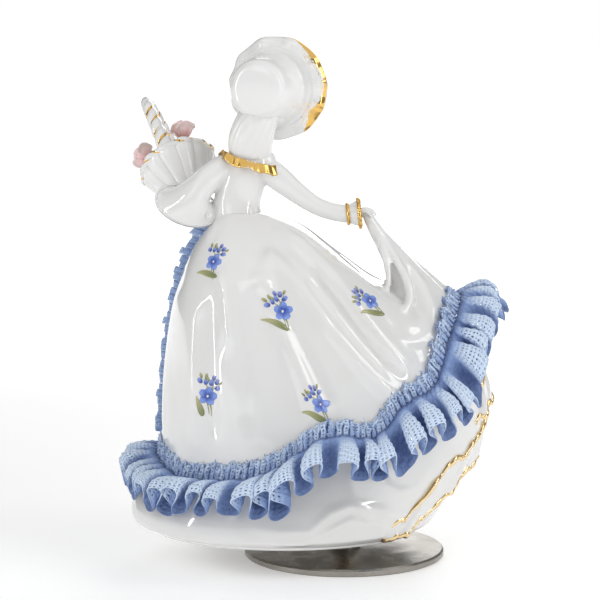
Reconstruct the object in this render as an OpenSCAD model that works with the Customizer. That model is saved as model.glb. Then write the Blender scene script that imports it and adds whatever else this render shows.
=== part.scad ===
// Porcelain lady figurine that turns on a music-box base.
// Millimetres, +Z up. The origin is on the table, on the axis of the winding shaft.
// The lady faces -Y. Her left arm, with the basket, is on +X, and her right hand lifts the train on -X.

/* [Base] */
// Diameter of the turntable disc
disc_d = 68; // [64:1:72]
// Thickness of the turntable disc
disc_h = 2.5; // [2.3:0.1:3]
// Radius of the winding shaft
shaft_r = 1.5; // [1.3:0.1:1.6]
// Height of the porcelain floor above the table
floor_z = 9.5; // [9.2:0.1:9.8]
// Thickness of the porcelain floor
floor_h = 3.4; // [3.2:0.1:3.8]

/* [Porcelain] */
// Wall thickness of the skirts
wall = 2.2; // [1.8:0.1:2.6]
// Steps round each skirt
round_steps = 54; // [36:2:60]
// Radius of the hat brim
brim_r = 17.6; // [16:0.1:19]
// Radius of the hat crown where it meets the brim
crown_r = 11.8; // [11:0.1:12.5]

/* [Movement] */
// Teeth on the crown wheel
crown_teeth = 48; // [48:1:48]
// Teeth on the drum pinion
pinion_teeth = 12; // [12:1:12]
// Teeth on the drum wheel
wheel_teeth = 44; // [44:1:44]
// Teeth on the governor pinion
gov_pinion_teeth = 8; // [8:1:8]
// Teeth on the worm wheel
worm_wheel_teeth = 20; // [20:1:20]
// Radius of the pinned drum
drum_r = 6.5; // [6.2:0.1:6.5]
// Teeth on the comb
comb_teeth = 18; // [14:1:18]

/* [Hidden] */

white = [0.95, 0.95, 0.94];
blue = [0.48, 0.6, 0.86];
gold = [0.83, 0.62, 0.24];
pink = [0.93, 0.72, 0.74];
green = [0.6, 0.68, 0.35];
nickel = [0.72, 0.7, 0.67];
steel = [0.6, 0.62, 0.65];
brass = [0.8, 0.66, 0.3];

// ---- curves and solids that several pieces share ----

// Point at u (0 to 1) on the smooth curve through the points p
function curve_at(p, u) =
    let (n = len(p) - 1, s = min(n - 0.0001, max(0, u * n)), i = floor(s), f = s - i,
         a = p[max(0, i - 1)], b = p[i], c = p[i + 1], d = p[min(n, i + 2)])
    0.5 * (2 * b + (c - a) * f + (2 * a - 5 * b + 4 * c - d) * f * f + (3 * b - a - 3 * c + d) * f * f * f);
function unit(v) = v / max(norm(v), 1e-9);
function ellipse_ring(c, a, b, n, z) =
    [for (i = [0:n - 1]) [c[0] + a * cos(360 * i / n), c[1] + b * sin(360 * i / n), z]];

// Closed solid through rings of equal length, capped at the first and last ring
module skin(rings) {
    n = len(rings[0]);
    m = len(rings);
    points = [for (r = rings) each r];
    sides = [for (j = [0:m - 2], i = [0:n - 1], k = [0:1])
        k == 0 ? [j * n + i, j * n + (i + 1) % n, (j + 1) * n + i]
               : [j * n + (i + 1) % n, (j + 1) * n + (i + 1) % n, (j + 1) * n + i]];
    caps = [[for (i = [n - 1:-1:0]) i], [for (i = [0:n - 1]) (m - 1) * n + i]];
    polyhedron(points, concat(sides, caps), convexity = 8);
}

// Normal of a grid of points at row i, column j
function grid_normal(g, i, j) =
    let (a = g[min(len(g) - 1, i + 1)][j] - g[max(0, i - 1)][j],
         b = g[i][min(len(g[0]) - 1, j + 1)] - g[i][max(0, j - 1)])
    unit(cross(a, b));

// Closed sheet of thickness t that lies on one side of a grid of points
module sheet(g, t) {
    n = len(g);
    m = len(g[0]);
    inner = [for (i = [0:n - 1]) [for (j = [0:m - 1]) g[i][j] + t * grid_normal(g, i, j)]];
    points = concat([for (r = g) each r], [for (r = inner) each r]);
    o = n * m;
    top = [for (i = [0:n - 2], j = [0:m - 2], k = [0:1])
        k == 0 ? [i * m + j, (i + 1) * m + j, i * m + j + 1]
               : [(i + 1) * m + j, (i + 1) * m + j + 1, i * m + j + 1]];
    under = [for (f = top) [o + f[0], o + f[2], o + f[1]]];
    edge = concat([for (j = [0:m - 2]) [j, j + 1]],
        [for (i = [0:n - 2]) [i * m + m - 1, (i + 1) * m + m - 1]],
        [for (j = [m - 1:-1:1]) [(n - 1) * m + j, (n - 1) * m + j - 1]],
        [for (i = [n - 1:-1:1]) [i * m, (i - 1) * m]]);
    rim = [for (e = edge, k = [0:1]) k == 0 ? [e[0], e[1], o + e[0]] : [e[1], o + e[1], o + e[0]]];
    polyhedron(points, concat(top, under, rim), convexity = 8);
}

// Round tube of changing radius: each station is [x, y, z, radius]
module limb(stations, n = 14, steps = 10) {
    path = [for (k = [0:steps]) curve_at(stations, k / steps)];
    function at(k) = [path[k][0], path[k][1], path[k][2]];
    rings = [for (k = [0:steps])
        let (d = unit(at(min(steps, k + 1)) - at(max(0, k - 1))), s = unit(cross(d, [0, 1, 0.01])),
            v = cross(s, d))
        [for (i = [0:n - 1]) at(k) + path[k][3] * (cos(360 * i / n) * s + sin(360 * i / n) * v)]];
    skin(rings);
}

// ---- porcelain skirts ----

// Heights and reach of the petticoat: [z, left x, right x, back y, front y]
petticoat_form = [
    [9.5, 65, -25, 36, -36], [13, 71.5, -30, 41.5, -41.5], [19, 72, -34, 42.5, -43], [27, 66, -39, 40.5, -42],
    [38, 59, -45, 37.5, -40], [52, 57, -48, 34, -37], [66, 54, -46, 29, -33.5], [79, 50, -37, 24, -29],
    [87, 47.5, -25, 20, -25], [95, 46, -3, 15.5, -21], [105, 43, 16, 10, -14], [117.5, 39.5, 30.5, 5, -6]
];
// Ring of the petticoat at u (0 at the foot, 1 at the waist), set in by t
function petticoat_ring(u, t = 0, n = round_steps) =
    let (f = curve_at(petticoat_form, u), c = (f[1] + f[2]) / 2, a = (f[1] - f[2]) / 2 - t)
    [for (i = [0:n - 1]) let (w = 360 * i / n)
        [c + a * cos(w), sin(w) > 0 ? (f[3] - t) * sin(w) : -(f[4] + t) * sin(w), f[0]]];

plate_c = [12, 0];
hole_r = 30;
plate_r = 32.6;
rebate_z = floor_z + 1.9;
floor_top = floor_z + floor_h;

module petticoat() color(white) {
    steps = 13;
    outer = [for (k = [steps:-1:0]) petticoat_ring(k / steps)];
    inner = [for (k = [1:steps]) let (u = 0.04 + 0.9 * k / steps) petticoat_ring(u, wall * 1.3)];
    under = [ellipse_ring(plate_c, plate_r + 0.3, plate_r + 0.3, round_steps, floor_z),
             ellipse_ring(plate_c, plate_r + 0.3, plate_r + 0.3, round_steps, rebate_z),
             ellipse_ring(plate_c, hole_r, hole_r, round_steps, rebate_z),
             ellipse_ring(plate_c, hole_r, hole_r, round_steps, floor_top)];
    skin(concat(outer, under, inner));
}

// Lines of the overskirt from waist to hem, from the left front edge round the back to the right front edge
overskirt_lines = [
    [[39.5, -5, 117], [51, -11, 104], [57, -15, 85], [60.5, -18, 60], [62, -19, 37]],
    [[41.5, 1, 118], [51, 1, 105], [57, 1, 88], [61, 0, 62], [62, 0, 36]],
    [[40, 5, 118], [48, 14, 106], [52.5, 20, 90], [54.5, 24, 64], [53.5, 23, 33]],
    [[37.5, 7, 118], [41.5, 20, 107], [41, 28.5, 92], [38.5, 34, 66], [37, 36, 34]],
    [[34.5, 7.5, 118], [33, 20, 108], [29, 29, 96], [25.5, 35.5, 70], [23, 40.5, 37]],
    [[31.5, 7, 118], [26, 18, 109], [18, 28, 96], [10, 36, 74], [6, 43, 47.5]],
    [[29.5, 5.5, 118], [21, 16.5, 110], [8, 26, 96], [-5, 34, 74], [-9, 39, 47]],
    [[29, 4, 118], [18, 14, 111], [3, 23.5, 98], [-12, 30, 78], [-18.5, 35, 57.5]],
    [[28.5, 2, 118], [16, 9, 111], [0, 17, 99], [-17, 24, 83], [-28.5, 28, 63]],
    [[28.5, 0.5, 118], [15, 4, 110], [0, 9, 99], [-17, 16, 88.5], [-33, 20, 77.5]],
    [[28.5, -1.5, 118], [15, -3, 109], [0, -4, 99], [-15, -3, 92], [-38, 1, 88]],
    [[29, -5, 117], [17, -12, 107], [3, -19, 96], [-13, -23, 88], [-36, -17, 85]]
];
function overskirt_point(s, t) = curve_at([for (l = overskirt_lines) curve_at(l, t)], s);

module overskirt() color(white)
    sheet([for (i = [0:round_steps]) [for (j = [0:9]) overskirt_point(i / round_steps, j / 9)]], -wall);

// Gathered cloth that the right hand holds up: [centre x, centre y, z, half width, half depth]
train_form = [[-7, 2, 117.5, 2, 2.2], [-10.5, 2, 111, 3.4, 3.6], [-15.5, 1.5, 104.5, 4.6, 4.8],
    [-20, 1, 98, 6.2, 6.2], [-23, 1, 92.5, 8.8, 7.8], [-24.5, 1, 87.5, 11.5, 9.5]];
module raised_train() color(white)
    skin([for (k = [0:8]) let (f = curve_at(train_form, k / 8))
        [for (i = [0:17]) [f[0] + f[3] * cos(-20 * i), f[1] + f[4] * sin(-20 * i), f[2]]]]);

// Band that stands on the petticoat between two heights; the right side sweeps up
function sweep_up(w) = exp(-pow((w - 186) / 26, 2));
function frill_grid(low, high, lift, reach, n) =
    [for (i = [0:n]) let (w = 125 + 220 * i / n, up = lift * sweep_up(w)) [for (j = [0:2])
        let (z = high + up - (high - low) * j / 2, u = petticoat_u(z), f = curve_at(petticoat_form, u),
             c = (f[1] + f[2]) / 2, a = (f[1] - f[2]) / 2 + reach * (0.6 * j - 0.3))
        [c + a * cos(w), (sin(w) > 0 ? f[3] : -f[4]) * sin(w) * (1 + reach * (0.6 * j - 0.3) / 42), z]]];
function petticoat_u(z) =
    let (n = len(petticoat_form) - 1, hit = [for (i = [0:n - 1]) if (petticoat_form[i][0] <= z) i],
        i = hit[len(hit) - 1])
    (i + (z - petticoat_form[i][0]) / (petticoat_form[i + 1][0] - petticoat_form[i][0])) / n;
module petticoat_frill_lower() color(white) sheet(frill_grid(15, 27, 24, 2.2, 36), -1.6);
module petticoat_frill_upper() color(white) sheet(frill_grid(33, 46, 18, 2.2, 36), -1.6);

// ---- lace ----

// Pairs along the hem: where the lace is sewn on, and where its free edge lies
hem_lace = [
    [[62, -18, 38], [75, -24, 29]], [[62.5, 0, 37], [76, -1, 26]], [[54, 23, 34.5], [65, 28, 20]],
    [[37.5, 36.5, 35.5], [41, 46.5, 22]], [[23, 41, 38.5], [23, 50, 24]], [[6, 43.5, 49], [7, 51.5, 35]],
    [[-9.5, 39.5, 48.5], [-13, 48, 33]], [[-19, 35, 58.5], [-29, 39, 43]], [[-29, 28, 64], [-43, 29, 54]],
    [[-33.5, 19.5, 78], [-48.5, 17, 68]], [[-38.5, 1, 88.5], [-56, -3, 81]],
        [[-36, -17, 85.5], [-53, -22, 81]]
];
function lace_point(s, e) = curve_at([for (p = hem_lace) p[0] + e * (p[1] - p[0])], s);
module hem_lace_flounce() color(blue)
    sheet([for (i = [0:60]) [for (j = [0:3]) lace_point(i / 60, 0.08 + 0.92 * j / 3)]], -2);
module hem_lace_heading() color(blue)
    sheet([for (i = [0:60]) let (a = lace_point(i / 60, 0), b = lace_point(i / 60, 0.12))
        [a + [0, 0, 3.4], a, b]], -1.6);

// Narrow frill that runs up a front edge of the overskirt
module edge_lace(line, side) {
    sheet([for (k = [0:16]) let (p = overskirt_point(side, 0.02 + 0.96 * k / 16)) [p - line, p,
        p + line]], 1.6);
}
module front_lace_left() color(blue) edge_lace([1.2, 3, 0.5], 0.001);
module front_lace_right() color(blue) edge_lace([0.8, 3.2, 1.5], 0.999);

// ---- body, head and arms ----

// Rings of the bodice: [centre x, centre y, half width, half depth, z]
bodice_form = [[36, 0.8, 7.9, 7, 115.5], [36.2, 0.4, 7.9, 6.2, 120], [35, 0, 8.1, 6.4, 125.5],
    [33.4, -0.6, 8.3, 7.2, 130.5], [31.8, -0.4, 8.9, 6.6, 134], [31.4, 0, 8.2, 5, 137],
        [31, 0.2, 4.2, 3.6, 139]];
module bodice() color(white)
    skin([for (k = [12:-1:0]) let (f = curve_at(bodice_form, k / 12)) ellipse_ring([f[0], f[1]], f[2],
        f[3], 20, f[4])]);

module neckline_ruffle() color(gold)
    translate([31.4, 0.3, 135]) rotate([-18, -14, 0]) translate([0, 0, -1.2])
        difference() {
            cylinder(r = 10, h = 2.4, $fn = 64);
            translate([0, 0, -1]) cylinder(r = 8.3, h = 5, $fn = 64);
        }

module left_sleeve() color(white)
    limb([[38.5, 0.4, 134, 3.6], [43.5, 1.8, 130.5, 4.6], [48, 2.8, 126.5, 5.2], [51, 3, 123.4, 5.4]]);
// The wide mouth of the sleeve opens downwards and forwards
module left_sleeve_frill() color(white)
    skin([for (k = [0:4]) let (v = k / 4) [for (i = [0:17]) let (w = -20 * i)
        [51.5 + 1.3 * v + (4.6 + 5.6 * v) * cos(w), 2.6 - 1.1 * v + 5.4 * sin(w),
            122.6 - 3 * v + (3.5 * v - 1) * cos(w) - 5.6 * v * sin(w)]]]);
module left_hand() color(white) {
    limb([[54, 0.5, 119.5, 2.5], [53.6, -3.5, 117.2, 2.2], [52.4, -7, 115.7, 1.9]], 12, 5);
    translate([51.8, -7.6, 115.5]) hull() {
        sphere(r = 1.7, $fn = 16);
        translate([-2.4, -3.2, 0.6]) sphere(r = 1.2, $fn = 16);
        translate([0.2, -4, 0.8]) sphere(r = 1.1, $fn = 16);
    }
}
module right_sleeve() color(white)
    limb([[25, 0.5, 132, 4.4], [19.5, 1.6, 127, 4.0], [12, 2.6, 121, 3.3], [4.5, 3, 117.6, 3.0],
        [-1.2, 3, 116.8, 3.0]]);
module right_cuff() color(gold)
    translate([-2.4, 3, 116.7]) rotate([0, -80, 0]) rotate_extrude($fn = 48)
        polygon([[0, -1.6], [2.9, -1.6], [3.2, -0.6], [4.2, 0.6], [4.1, 1.4], [3, 1.0], [0, 1.0]]);
module right_hand() color(white) {
    hull() {
        translate([-3.6, 3, 117.2]) sphere(r = 1.7, $fn = 16);
        translate([-6.6, 2.8, 118.2]) sphere(r = 1.9, $fn = 16);
    }
    hull() {
        translate([-6.8, 3.6, 118]) sphere(r = 1.3, $fn = 12);
        translate([-9.4, 4.2, 116.2]) sphere(r = 1.0, $fn = 12);
    }
}

head_c = [24.6, -3.6, 154.2];
hat_turn = -20;
module head() color(white) union() {
    translate(head_c) sphere(r = 8.1, $fn = 48);
    translate(head_c + [-0.8, -2.2, -3.4]) sphere(r = 5.9, $fn = 48);
    translate([30.6, 0, 136.6]) rotate([9, -19, 0]) cylinder(r1 = 4, r2 = 3.4, h = 12, $fn = 40);
}
module hair() color(white) translate([29.6, 3.6, 138.4]) rotate([6, -16, 0])
    rotate_extrude($fn = 48) polygon([[0, 0], [5.2, 0], [6.8, 3], [7.2, 8], [6, 12], [0, 13.5]]);

// Brim, crown and the hollow that the head fills, turned about the hat's own axis
module sun_hat() color(white)
    translate([23.2, -2.2, 158.8]) rotate([0, 0, hat_turn]) rotate([-90, 0, 0])
            rotate_extrude($fn = 90) polygon([
                [0, 13.6], [6.5, 13.2], [9.4, 11.6], [10.6, 8], [crown_r, 1.2], [15, 0.2],
                [brim_r, -1.6], [brim_r, -2.6], [15, -1.4], [10.6, -0.6], [9.8, 1], [0, 1]]);

// ---- basket ----

basket_place = [50.7, -6, 119.4];
basket_tilt = [40, 27, 0];
rim_z = 17.4;
rim_h = 1.2;
handle_r = 12.1;
handle_leg = 16;
module basket_frame() translate(basket_place) rotate(basket_tilt) children();
module basket() color(white) basket_frame()
    rotate_extrude($fn = 60) polygon([[0, 0], [3.4, 0], [4.8, 1.2], [8.2, 7.6], [11.8, 14],
        [13.2, rim_z - 0.6],
        [13.2, rim_z + rim_h], [11.1, rim_z + rim_h], [11.1, rim_z], [0, rim_z]]);
module basket_handle() color(white) basket_frame() translate([0, 0, rim_z + rim_h]) rotate([0, 3, 0])
    rotate([90, 0, 90]) {
    translate([0, handle_leg, 0]) rotate_extrude(angle = 180, $fn = 60)
        translate([handle_r, 0]) square([1.9, 3.8], center = true);
    for (x = [-handle_r, handle_r]) translate([x, handle_leg / 2, 0]) cube([1.9, handle_leg + 0.2, 3.8],
        center = true);
}
module rose(r) rotate_extrude($fn = 40)
    polygon([[0, 0], [0.5 * r, 0], [0.95 * r, 0.5 * r], [r, 1.1 * r], [0.75 * r, 1.45 * r], [0, 1.3 * r]]);
// Place, tilt and radius of the three roses in the basket
rose_rows = [[[8.4, 4.4, 20.4], [0, 30, 0], 3.5], [[-6.2, 5.2, 21.6], [-14, -12, 0], 3.9],
    [[-2, -5, 21.2], [14, -6, 0], 3.9]];
module rose_at(k, grow = 0) basket_frame()
    translate(rose_rows[k][0]) rotate(rose_rows[k][1]) rose(rose_rows[k][2] + grow);
module rose_left() color(pink) rose_at(0);
module rose_right() color(pink) rose_at(1);
module rose_front() color(pink) rose_at(2);
// Mound of leaves that fills the mouth of the basket, with a seat for each rose
module rose_leaves() color(green) difference() {
    basket_frame() translate([0, 0, rim_z]) rotate_extrude($fn = 60)
        polygon([[0, 0], [10.8, 0], [10.6, 2], [8.6, 4.4], [5, 5.6], [0, 6]]);
    for (k = [0:2]) rose_at(k, 0.05);
}

// ---- turntable ----

shaft_foot_z = 0.8;
shaft_top = 25.2;
screw_z = 2.2;
screw_r = 0.6;
module turntable_disc() color(nickel) difference() {
    rotate_extrude($fn = 128) polygon([[0, 0], [disc_d / 2 - 0.5, 0], [disc_d / 2, 0.5],
        [disc_d / 2, disc_h - 0.6],
        [disc_d / 2 - 0.6, disc_h], [0, disc_h]]);
    translate([0, 0, shaft_foot_z]) cylinder(r = shaft_r, h = 9, $fn = 48);
}
module shaft_collar() color(nickel) translate([0, 0, disc_h]) difference() {
    rotate_extrude($fn = 64) polygon([[0, 0], [5.6, 0], [5.6, 0.8], [3.8, 1.2], [3.8, 3.2], [3.2, 3.6],
        [0, 3.6]]);
    translate([0, 0, -1]) cylinder(r = shaft_r, h = 9, $fn = 48);
    translate([1, 0, screw_z]) rotate([0, 90, 0]) cylinder(r = screw_r, h = 4, $fn = 24);
}
// Grub screw that clamps the shaft in the collar
module collar_screw() color(steel) translate([shaft_r, 0, disc_h + screw_z]) rotate([0, 90, 0])
    cylinder(r = screw_r, h = 2.2, $fn = 24);
module winding_shaft() color(steel) translate([0, 0, shaft_foot_z])
    cylinder(r = shaft_r, h = shaft_top - shaft_foot_z, $fn = 48);

// ---- movement ----

gear_m = 0.5;
train_m = 0.3;
crown_pitch_r = crown_teeth * gear_m / 2;
axis_z = 18;
crown_pitch_z = axis_z - pinion_teeth * gear_m / 2;
crown_disc_z = crown_pitch_z - 1.2;

// Upright tooth of the crown wheel, with a tapering flank
module crown_tooth() translate([crown_pitch_r, 0, crown_disc_z + 0.6]) rotate([0, -90, 180])
    translate([0, 0, -1]) linear_extrude(2) polygon([[-0.1, -0.42], [0.2, -0.38], [1.0, -0.16],
        [1.0, 0.16], [0.2, 0.38], [-0.1, 0.42]]);
module crown_wheel() color(brass) difference() {
    union() {
        translate([0, 0, crown_disc_z]) cylinder(r = crown_pitch_r + 1.2, h = 0.6, $fn = 96);
        translate([0, 0, crown_disc_z]) cylinder(r = 2.6, h = 1.6, $fn = 48);
        for (k = [0:crown_teeth - 1]) rotate([0, 0, 360 * k / crown_teeth]) crown_tooth();
    }
    translate([0, 0, 5]) cylinder(r = shaft_r, h = 30, $fn = 48);
}

// Spur gear outline: teeth narrowed for running clearance
module gear_outline(n, m, slim) {
    r = n * m / 2;
    half = 90 / n;
    polygon([for (k = [0:n - 1]) let (w = 360 * k / n) each [
        (r - 1.15 * m) * [cos(w - half * 1.2 * slim), sin(w - half * 1.2 * slim)],
        r * [cos(w - half * slim), sin(w - half * slim)],
        (r + 0.8 * m) * [cos(w - half * 0.42 * slim), sin(w - half * 0.42 * slim)],
        (r + 0.8 * m) * [cos(w + half * 0.42 * slim), sin(w + half * 0.42 * slim)],
        r * [cos(w + half * slim), sin(w + half * slim)],
        (r - 1.15 * m) * [cos(w + half * 1.2 * slim), sin(w + half * 1.2 * slim)]]]);
}
// Gear that turns about a line along X, from x0, with a bore
module x_gear(n, m, x0, width, bore, slim, turn = 0) translate([x0, 0, 0]) rotate([0, 90, 0]) difference() {
    rotate([0, 0, turn]) linear_extrude(width) gear_outline(n, m, slim);
    translate([0, 0, -1]) cylinder(r = bore, h = width + 2, $fn = 40);
}
module x_rod(x0, x1, r) translate([x0, 0, 0]) rotate([0, 90, 0]) cylinder(r = r, h = x1 - x0, $fn = 40);

drum_x = [14.6, 30.6];
arbor_r = 0.8;
governor_y = -(wheel_teeth + gov_pinion_teeth) * train_m / 2;
worm_wheel_x = 32.3;
worm_x = worm_wheel_x + 0.4;
worm_pitch_r = 1;
worm_y = governor_y - worm_wheel_teeth * train_m / 2 - worm_pitch_r;

module at_drum() translate([0, 0, axis_z]) children();
module at_governor() translate([0, governor_y, axis_z]) children();

module drum() color(brass) at_drum() difference() {
    x_rod(drum_x[0], drum_x[1], drum_r);
    x_rod(drum_x[0] - 1, drum_x[1] + 1, arbor_r);
}
comb_pitch = (drum_x[1] - drum_x[0] - 1) / comb_teeth;
module drum_pins() color(steel) at_drum() for (k = [0:comb_teeth - 1], j = [0:2])
    translate([drum_x[0] + 0.5 + comb_pitch * (k + 0.5), 0, 0])
        rotate([(k * 77 + j * 100 + k * j * 23) % 360, 0, 0])
        translate([0, 0, drum_r - 0.1]) cylinder(r = 0.16, h = 0.5, $fn = 16);
module drum_arbor() color(steel) at_drum() x_rod(10.8, 34.6, arbor_r);
module drum_pinion() color(brass) at_drum() x_gear(pinion_teeth, gear_m, 11.1, 1.8, arbor_r, 0.74,
    0.5 * 360 / pinion_teeth);
module drum_wheel() color(brass) at_drum() x_gear(wheel_teeth, train_m, 31, 0.9, arbor_r, 0.72);
module governor_arbor() color(steel) at_governor() x_rod(30.2, 34.6, 0.45);
module governor_pinion() color(steel) at_governor() x_gear(gov_pinion_teeth, train_m, 31, 0.9, 0.45,
    0.72, 0.5 * 360 / gov_pinion_teeth);
module worm_wheel() color(brass) at_governor() x_gear(worm_wheel_teeth, train_m, worm_wheel_x, 0.8, 0.45,
    0.62);

worm_lead = PI * train_m;
worm_turns = 5;
module worm() color(steel) translate([worm_x, worm_y, axis_z]) {
    translate([0, 0, -worm_turns * worm_lead / 2]) linear_extrude(worm_turns * worm_lead,
        twist = -360 * worm_turns, slices = 12 * worm_turns)
        polygon([for (k = [0:11]) let (w = 30 * k + 90)
            (k == 0 || k == 1 || k == 11 ? 1.12 : 0.66) * [cos(w), sin(w)]]);
    translate([0, 0, -4]) cylinder(r = 0.4, h = 4 - worm_turns * worm_lead / 2, $fn = 24);
    translate([0, 0, worm_turns * worm_lead / 2]) cylinder(r = 0.4, h = 9.4 - worm_turns * worm_lead / 2,
        $fn = 24);
}
module air_brake() color(brass) translate([worm_x, worm_y, axis_z + 4]) difference() {
    union() {
        translate([-3.3, -0.15, 0]) cube([6.6, 0.3, 4.4]);
        cylinder(r = 0.8, h = 4.4, $fn = 32);
    }
    translate([0, 0, -1]) cylinder(r = 0.4, h = 9, $fn = 24);
}

plate_z = floor_z + 0.1;
plate_top = plate_z + 1.2;
bed_z = plate_top + 0.8;
bed_top = bed_z + 2;
posts = [[-10.2, 12.2], [-10.2, -12.2]];
feet = concat(posts, [[29, 15]]);
module mounting_plate() color(nickel) difference() {
    translate([plate_c[0], plate_c[1], plate_z]) cylinder(r = plate_r, h = 1.2, $fn = 120);
    translate([0, 0, plate_z - 1]) cylinder(r = 2.6, h = 4, $fn = 48);
    for (p = feet) translate([p[0], p[1], plate_z - 1]) cylinder(r = 1, h = 4, $fn = 32);
}
module bonding_ring() color([0.9, 0.9, 0.86]) translate([plate_c[0], plate_c[1], plate_top]) difference() {
    cylinder(r = plate_r - 0.1, h = 0.55, $fn = 120);
    translate([0, 0, -1]) cylinder(r = hole_r + 0.2, h = 3, $fn = 120);
}
module shaft_bush() color(brass) difference() {
    union() {
        translate([0, 0, plate_z - 0.8]) cylinder(r = 3.8, h = 0.8, $fn = 48);
        translate([0, 0, plate_z]) cylinder(r = 2.6, h = 1.9, $fn = 48);
    }
    translate([0, 0, plate_z - 2]) cylinder(r = shaft_r + 0.05, h = 6, $fn = 48);
}
module bedplate() color([0.7, 0.7, 0.72]) difference() {
    union() {
        translate([0, 0, bed_z]) linear_extrude(2) hull()
            for (p = [[-9, 11], [-9, -11], [34, -11], [34, 6], [29, 15]]) translate(p) circle(r = 4,
                $fn = 40);
        for (p = feet) translate([p[0], p[1], plate_top]) cylinder(r = 2.4, h = 1, $fn = 32);
        translate([drum_x[0], 12.4, bed_top - 0.5])
            cube([drum_x[1] - drum_x[0], 6, axis_z - 0.9 - bed_top + 0.5]);
    }
    translate([0, 0, bed_z - 1]) cylinder(r = 2.8, h = 4, $fn = 48);
    translate([drum_x[0] - 0.3, -drum_r - 0.9, bed_z - 1])
        cube([drum_x[1] - drum_x[0] + 2, 2 * drum_r + 1.8, 4]);
    for (p = feet) translate([p[0], p[1], plate_top - 1]) cylinder(r = 1, h = 9, $fn = 32);
    for (x = [18.4, 26.8]) translate([x, 15.4, axis_z - 4.5]) cylinder(r = 0.7, h = 8, $fn = 24);
}
module bedplate_screws() color(steel) for (p = feet) translate([p[0], p[1], plate_z - 1.1]) {
    cylinder(r = 1.9, h = 1.1, $fn = 32);
    translate([0, 0, 1.1]) cylinder(r = 1, h = bed_top - plate_z - 0.4, $fn = 32);
}

barrel_z = crown_pitch_z + 0.9;
barrel_r = 9.9;
module spring_barrel() color(steel) difference() {
    union() {
        translate([0, 0, barrel_z]) cylinder(r = barrel_r, h = 7.4, $fn = 80);
        for (p = posts) {
            translate([0, 0, barrel_z]) linear_extrude(1) hull() {
                translate(p) circle(r = 2.2, $fn = 32);
                translate(p * 0.4) circle(r = 2.6, $fn = 32);
            }
            translate([p[0], p[1], bed_top]) cylinder(r = 2, h = barrel_z - bed_top + 0.5, $fn = 32);
        }
    }
    translate([0, 0, barrel_z + 0.9]) cylinder(r = barrel_r - 0.7, h = 9, $fn = 80);
    translate([0, 0, barrel_z - 2]) cylinder(r = shaft_r + 0.6, h = 9, $fn = 48);
}
module barrel_cover() color(brass) translate([0, 0, barrel_z + 7.4]) difference() {
    cylinder(r = barrel_r, h = 0.8, $fn = 80);
    translate([0, 0, -1]) cylinder(r = shaft_r + 0.05, h = 4, $fn = 48);
}
// Ribbon wound in a flat spiral
spring_turns = 6;
module mainspring() color([0.35, 0.38, 0.45]) translate([0, 0, barrel_z + 1.3]) linear_extrude(5.6) polygon(
    let (n = spring_turns * 20, r0 = shaft_r + 0.5, r1 = barrel_r - 0.88)
    concat([for (k = [0:n]) (r0 + (r1 - r0) * k / n) * [cos(18 * k), sin(18 * k)]],
           [for (k = [n:-1:0]) (r0 + (r1 - r0) * k / n + 0.22) * [cos(18 * k), sin(18 * k)]]));

module drum_bearings() color([0.7, 0.7, 0.72]) {
    difference() {
        translate([13.3, -2, bed_top]) cube([0.9, 4, axis_z - bed_top + 2]);
        at_drum() x_rod(12, 15, arbor_r + 0.05);
    }
    difference() {
        translate([33.5, governor_y - 2, bed_top]) cube([0.9, 2.4 - governor_y + 2, axis_z - bed_top + 2]);
        at_drum() x_rod(32, 36, arbor_r + 0.05);
        at_governor() x_rod(32, 36, 0.5);
    }
}
comb_z = axis_z - 0.9;
module comb() color([0.65, 0.68, 0.72]) difference() {
    translate([drum_x[0], drum_r + 0.6, comb_z]) cube([drum_x[1] - drum_x[0], 11, 0.8]);
    for (k = [0:comb_teeth - 2]) translate([drum_x[0] + 0.5 + comb_pitch * (k + 1) - 0.14, drum_r,
        comb_z - 1]) cube([0.28, 5.6, 3]);
    for (x = [18.4, 26.8]) translate([x, 15.4, comb_z - 1]) cylinder(r = 0.7, h = 4, $fn = 24);
}
module comb_screws() color(steel) for (x = [18.4, 26.8]) translate([x, 15.4, comb_z - 2.6]) {
    cylinder(r = 0.7, h = 3.4, $fn = 24);
    translate([0, 0, 3.4]) cylinder(r = 1.6, h = 0.9, $fn = 32);
}
gov_x = worm_x + 3.8;
module governor_bracket() color([0.7, 0.7, 0.72]) difference() {
    union() {
        translate([worm_x - 1, worm_y - 1.2, bed_top]) cube([6, 2.4, 0.9]);
        translate([gov_x, worm_y - 1.2, bed_top]) cube([1, 2.4, axis_z + 9.6 - bed_top]);
        translate([worm_x - 1, worm_y - 1.2, axis_z + 8.7]) cube([gov_x - worm_x + 1.5, 2.4, 0.9]);
    }
    translate([worm_x, worm_y, bed_z]) cylinder(r = 0.45, h = 30, $fn = 24);
}
module governor_screw() color(steel) translate([worm_x + 2, worm_y, bed_top + 0.9]) cylinder(r = 1,
    h = 0.7, $fn = 24);

turntable_disc();
shaft_collar();
collar_screw();
winding_shaft();
crown_wheel();
petticoat();
overskirt();
raised_train();
petticoat_frill_lower();
petticoat_frill_upper();
hem_lace_flounce();
hem_lace_heading();
front_lace_left();
front_lace_right();
bodice();
neckline_ruffle();
left_sleeve();
left_sleeve_frill();
left_hand();
right_sleeve();
right_cuff();
right_hand();
head();
hair();
sun_hat();
basket();
basket_handle();
rose_left();
rose_right();
rose_front();
rose_leaves();
mounting_plate();
bonding_ring();
shaft_bush();
bedplate();
bedplate_screws();
spring_barrel();
barrel_cover();
mainspring();
drum_bearings();
comb();
comb_screws();
governor_bracket();
governor_screw();
drum();
drum_pins();
drum_arbor();
drum_pinion();
drum_wheel();
governor_arbor();
governor_pinion();
worm_wheel();
worm();
air_brake();
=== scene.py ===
import math
import bmesh
import bpy
import numpy as np
from mathutils import Matrix, Vector


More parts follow.
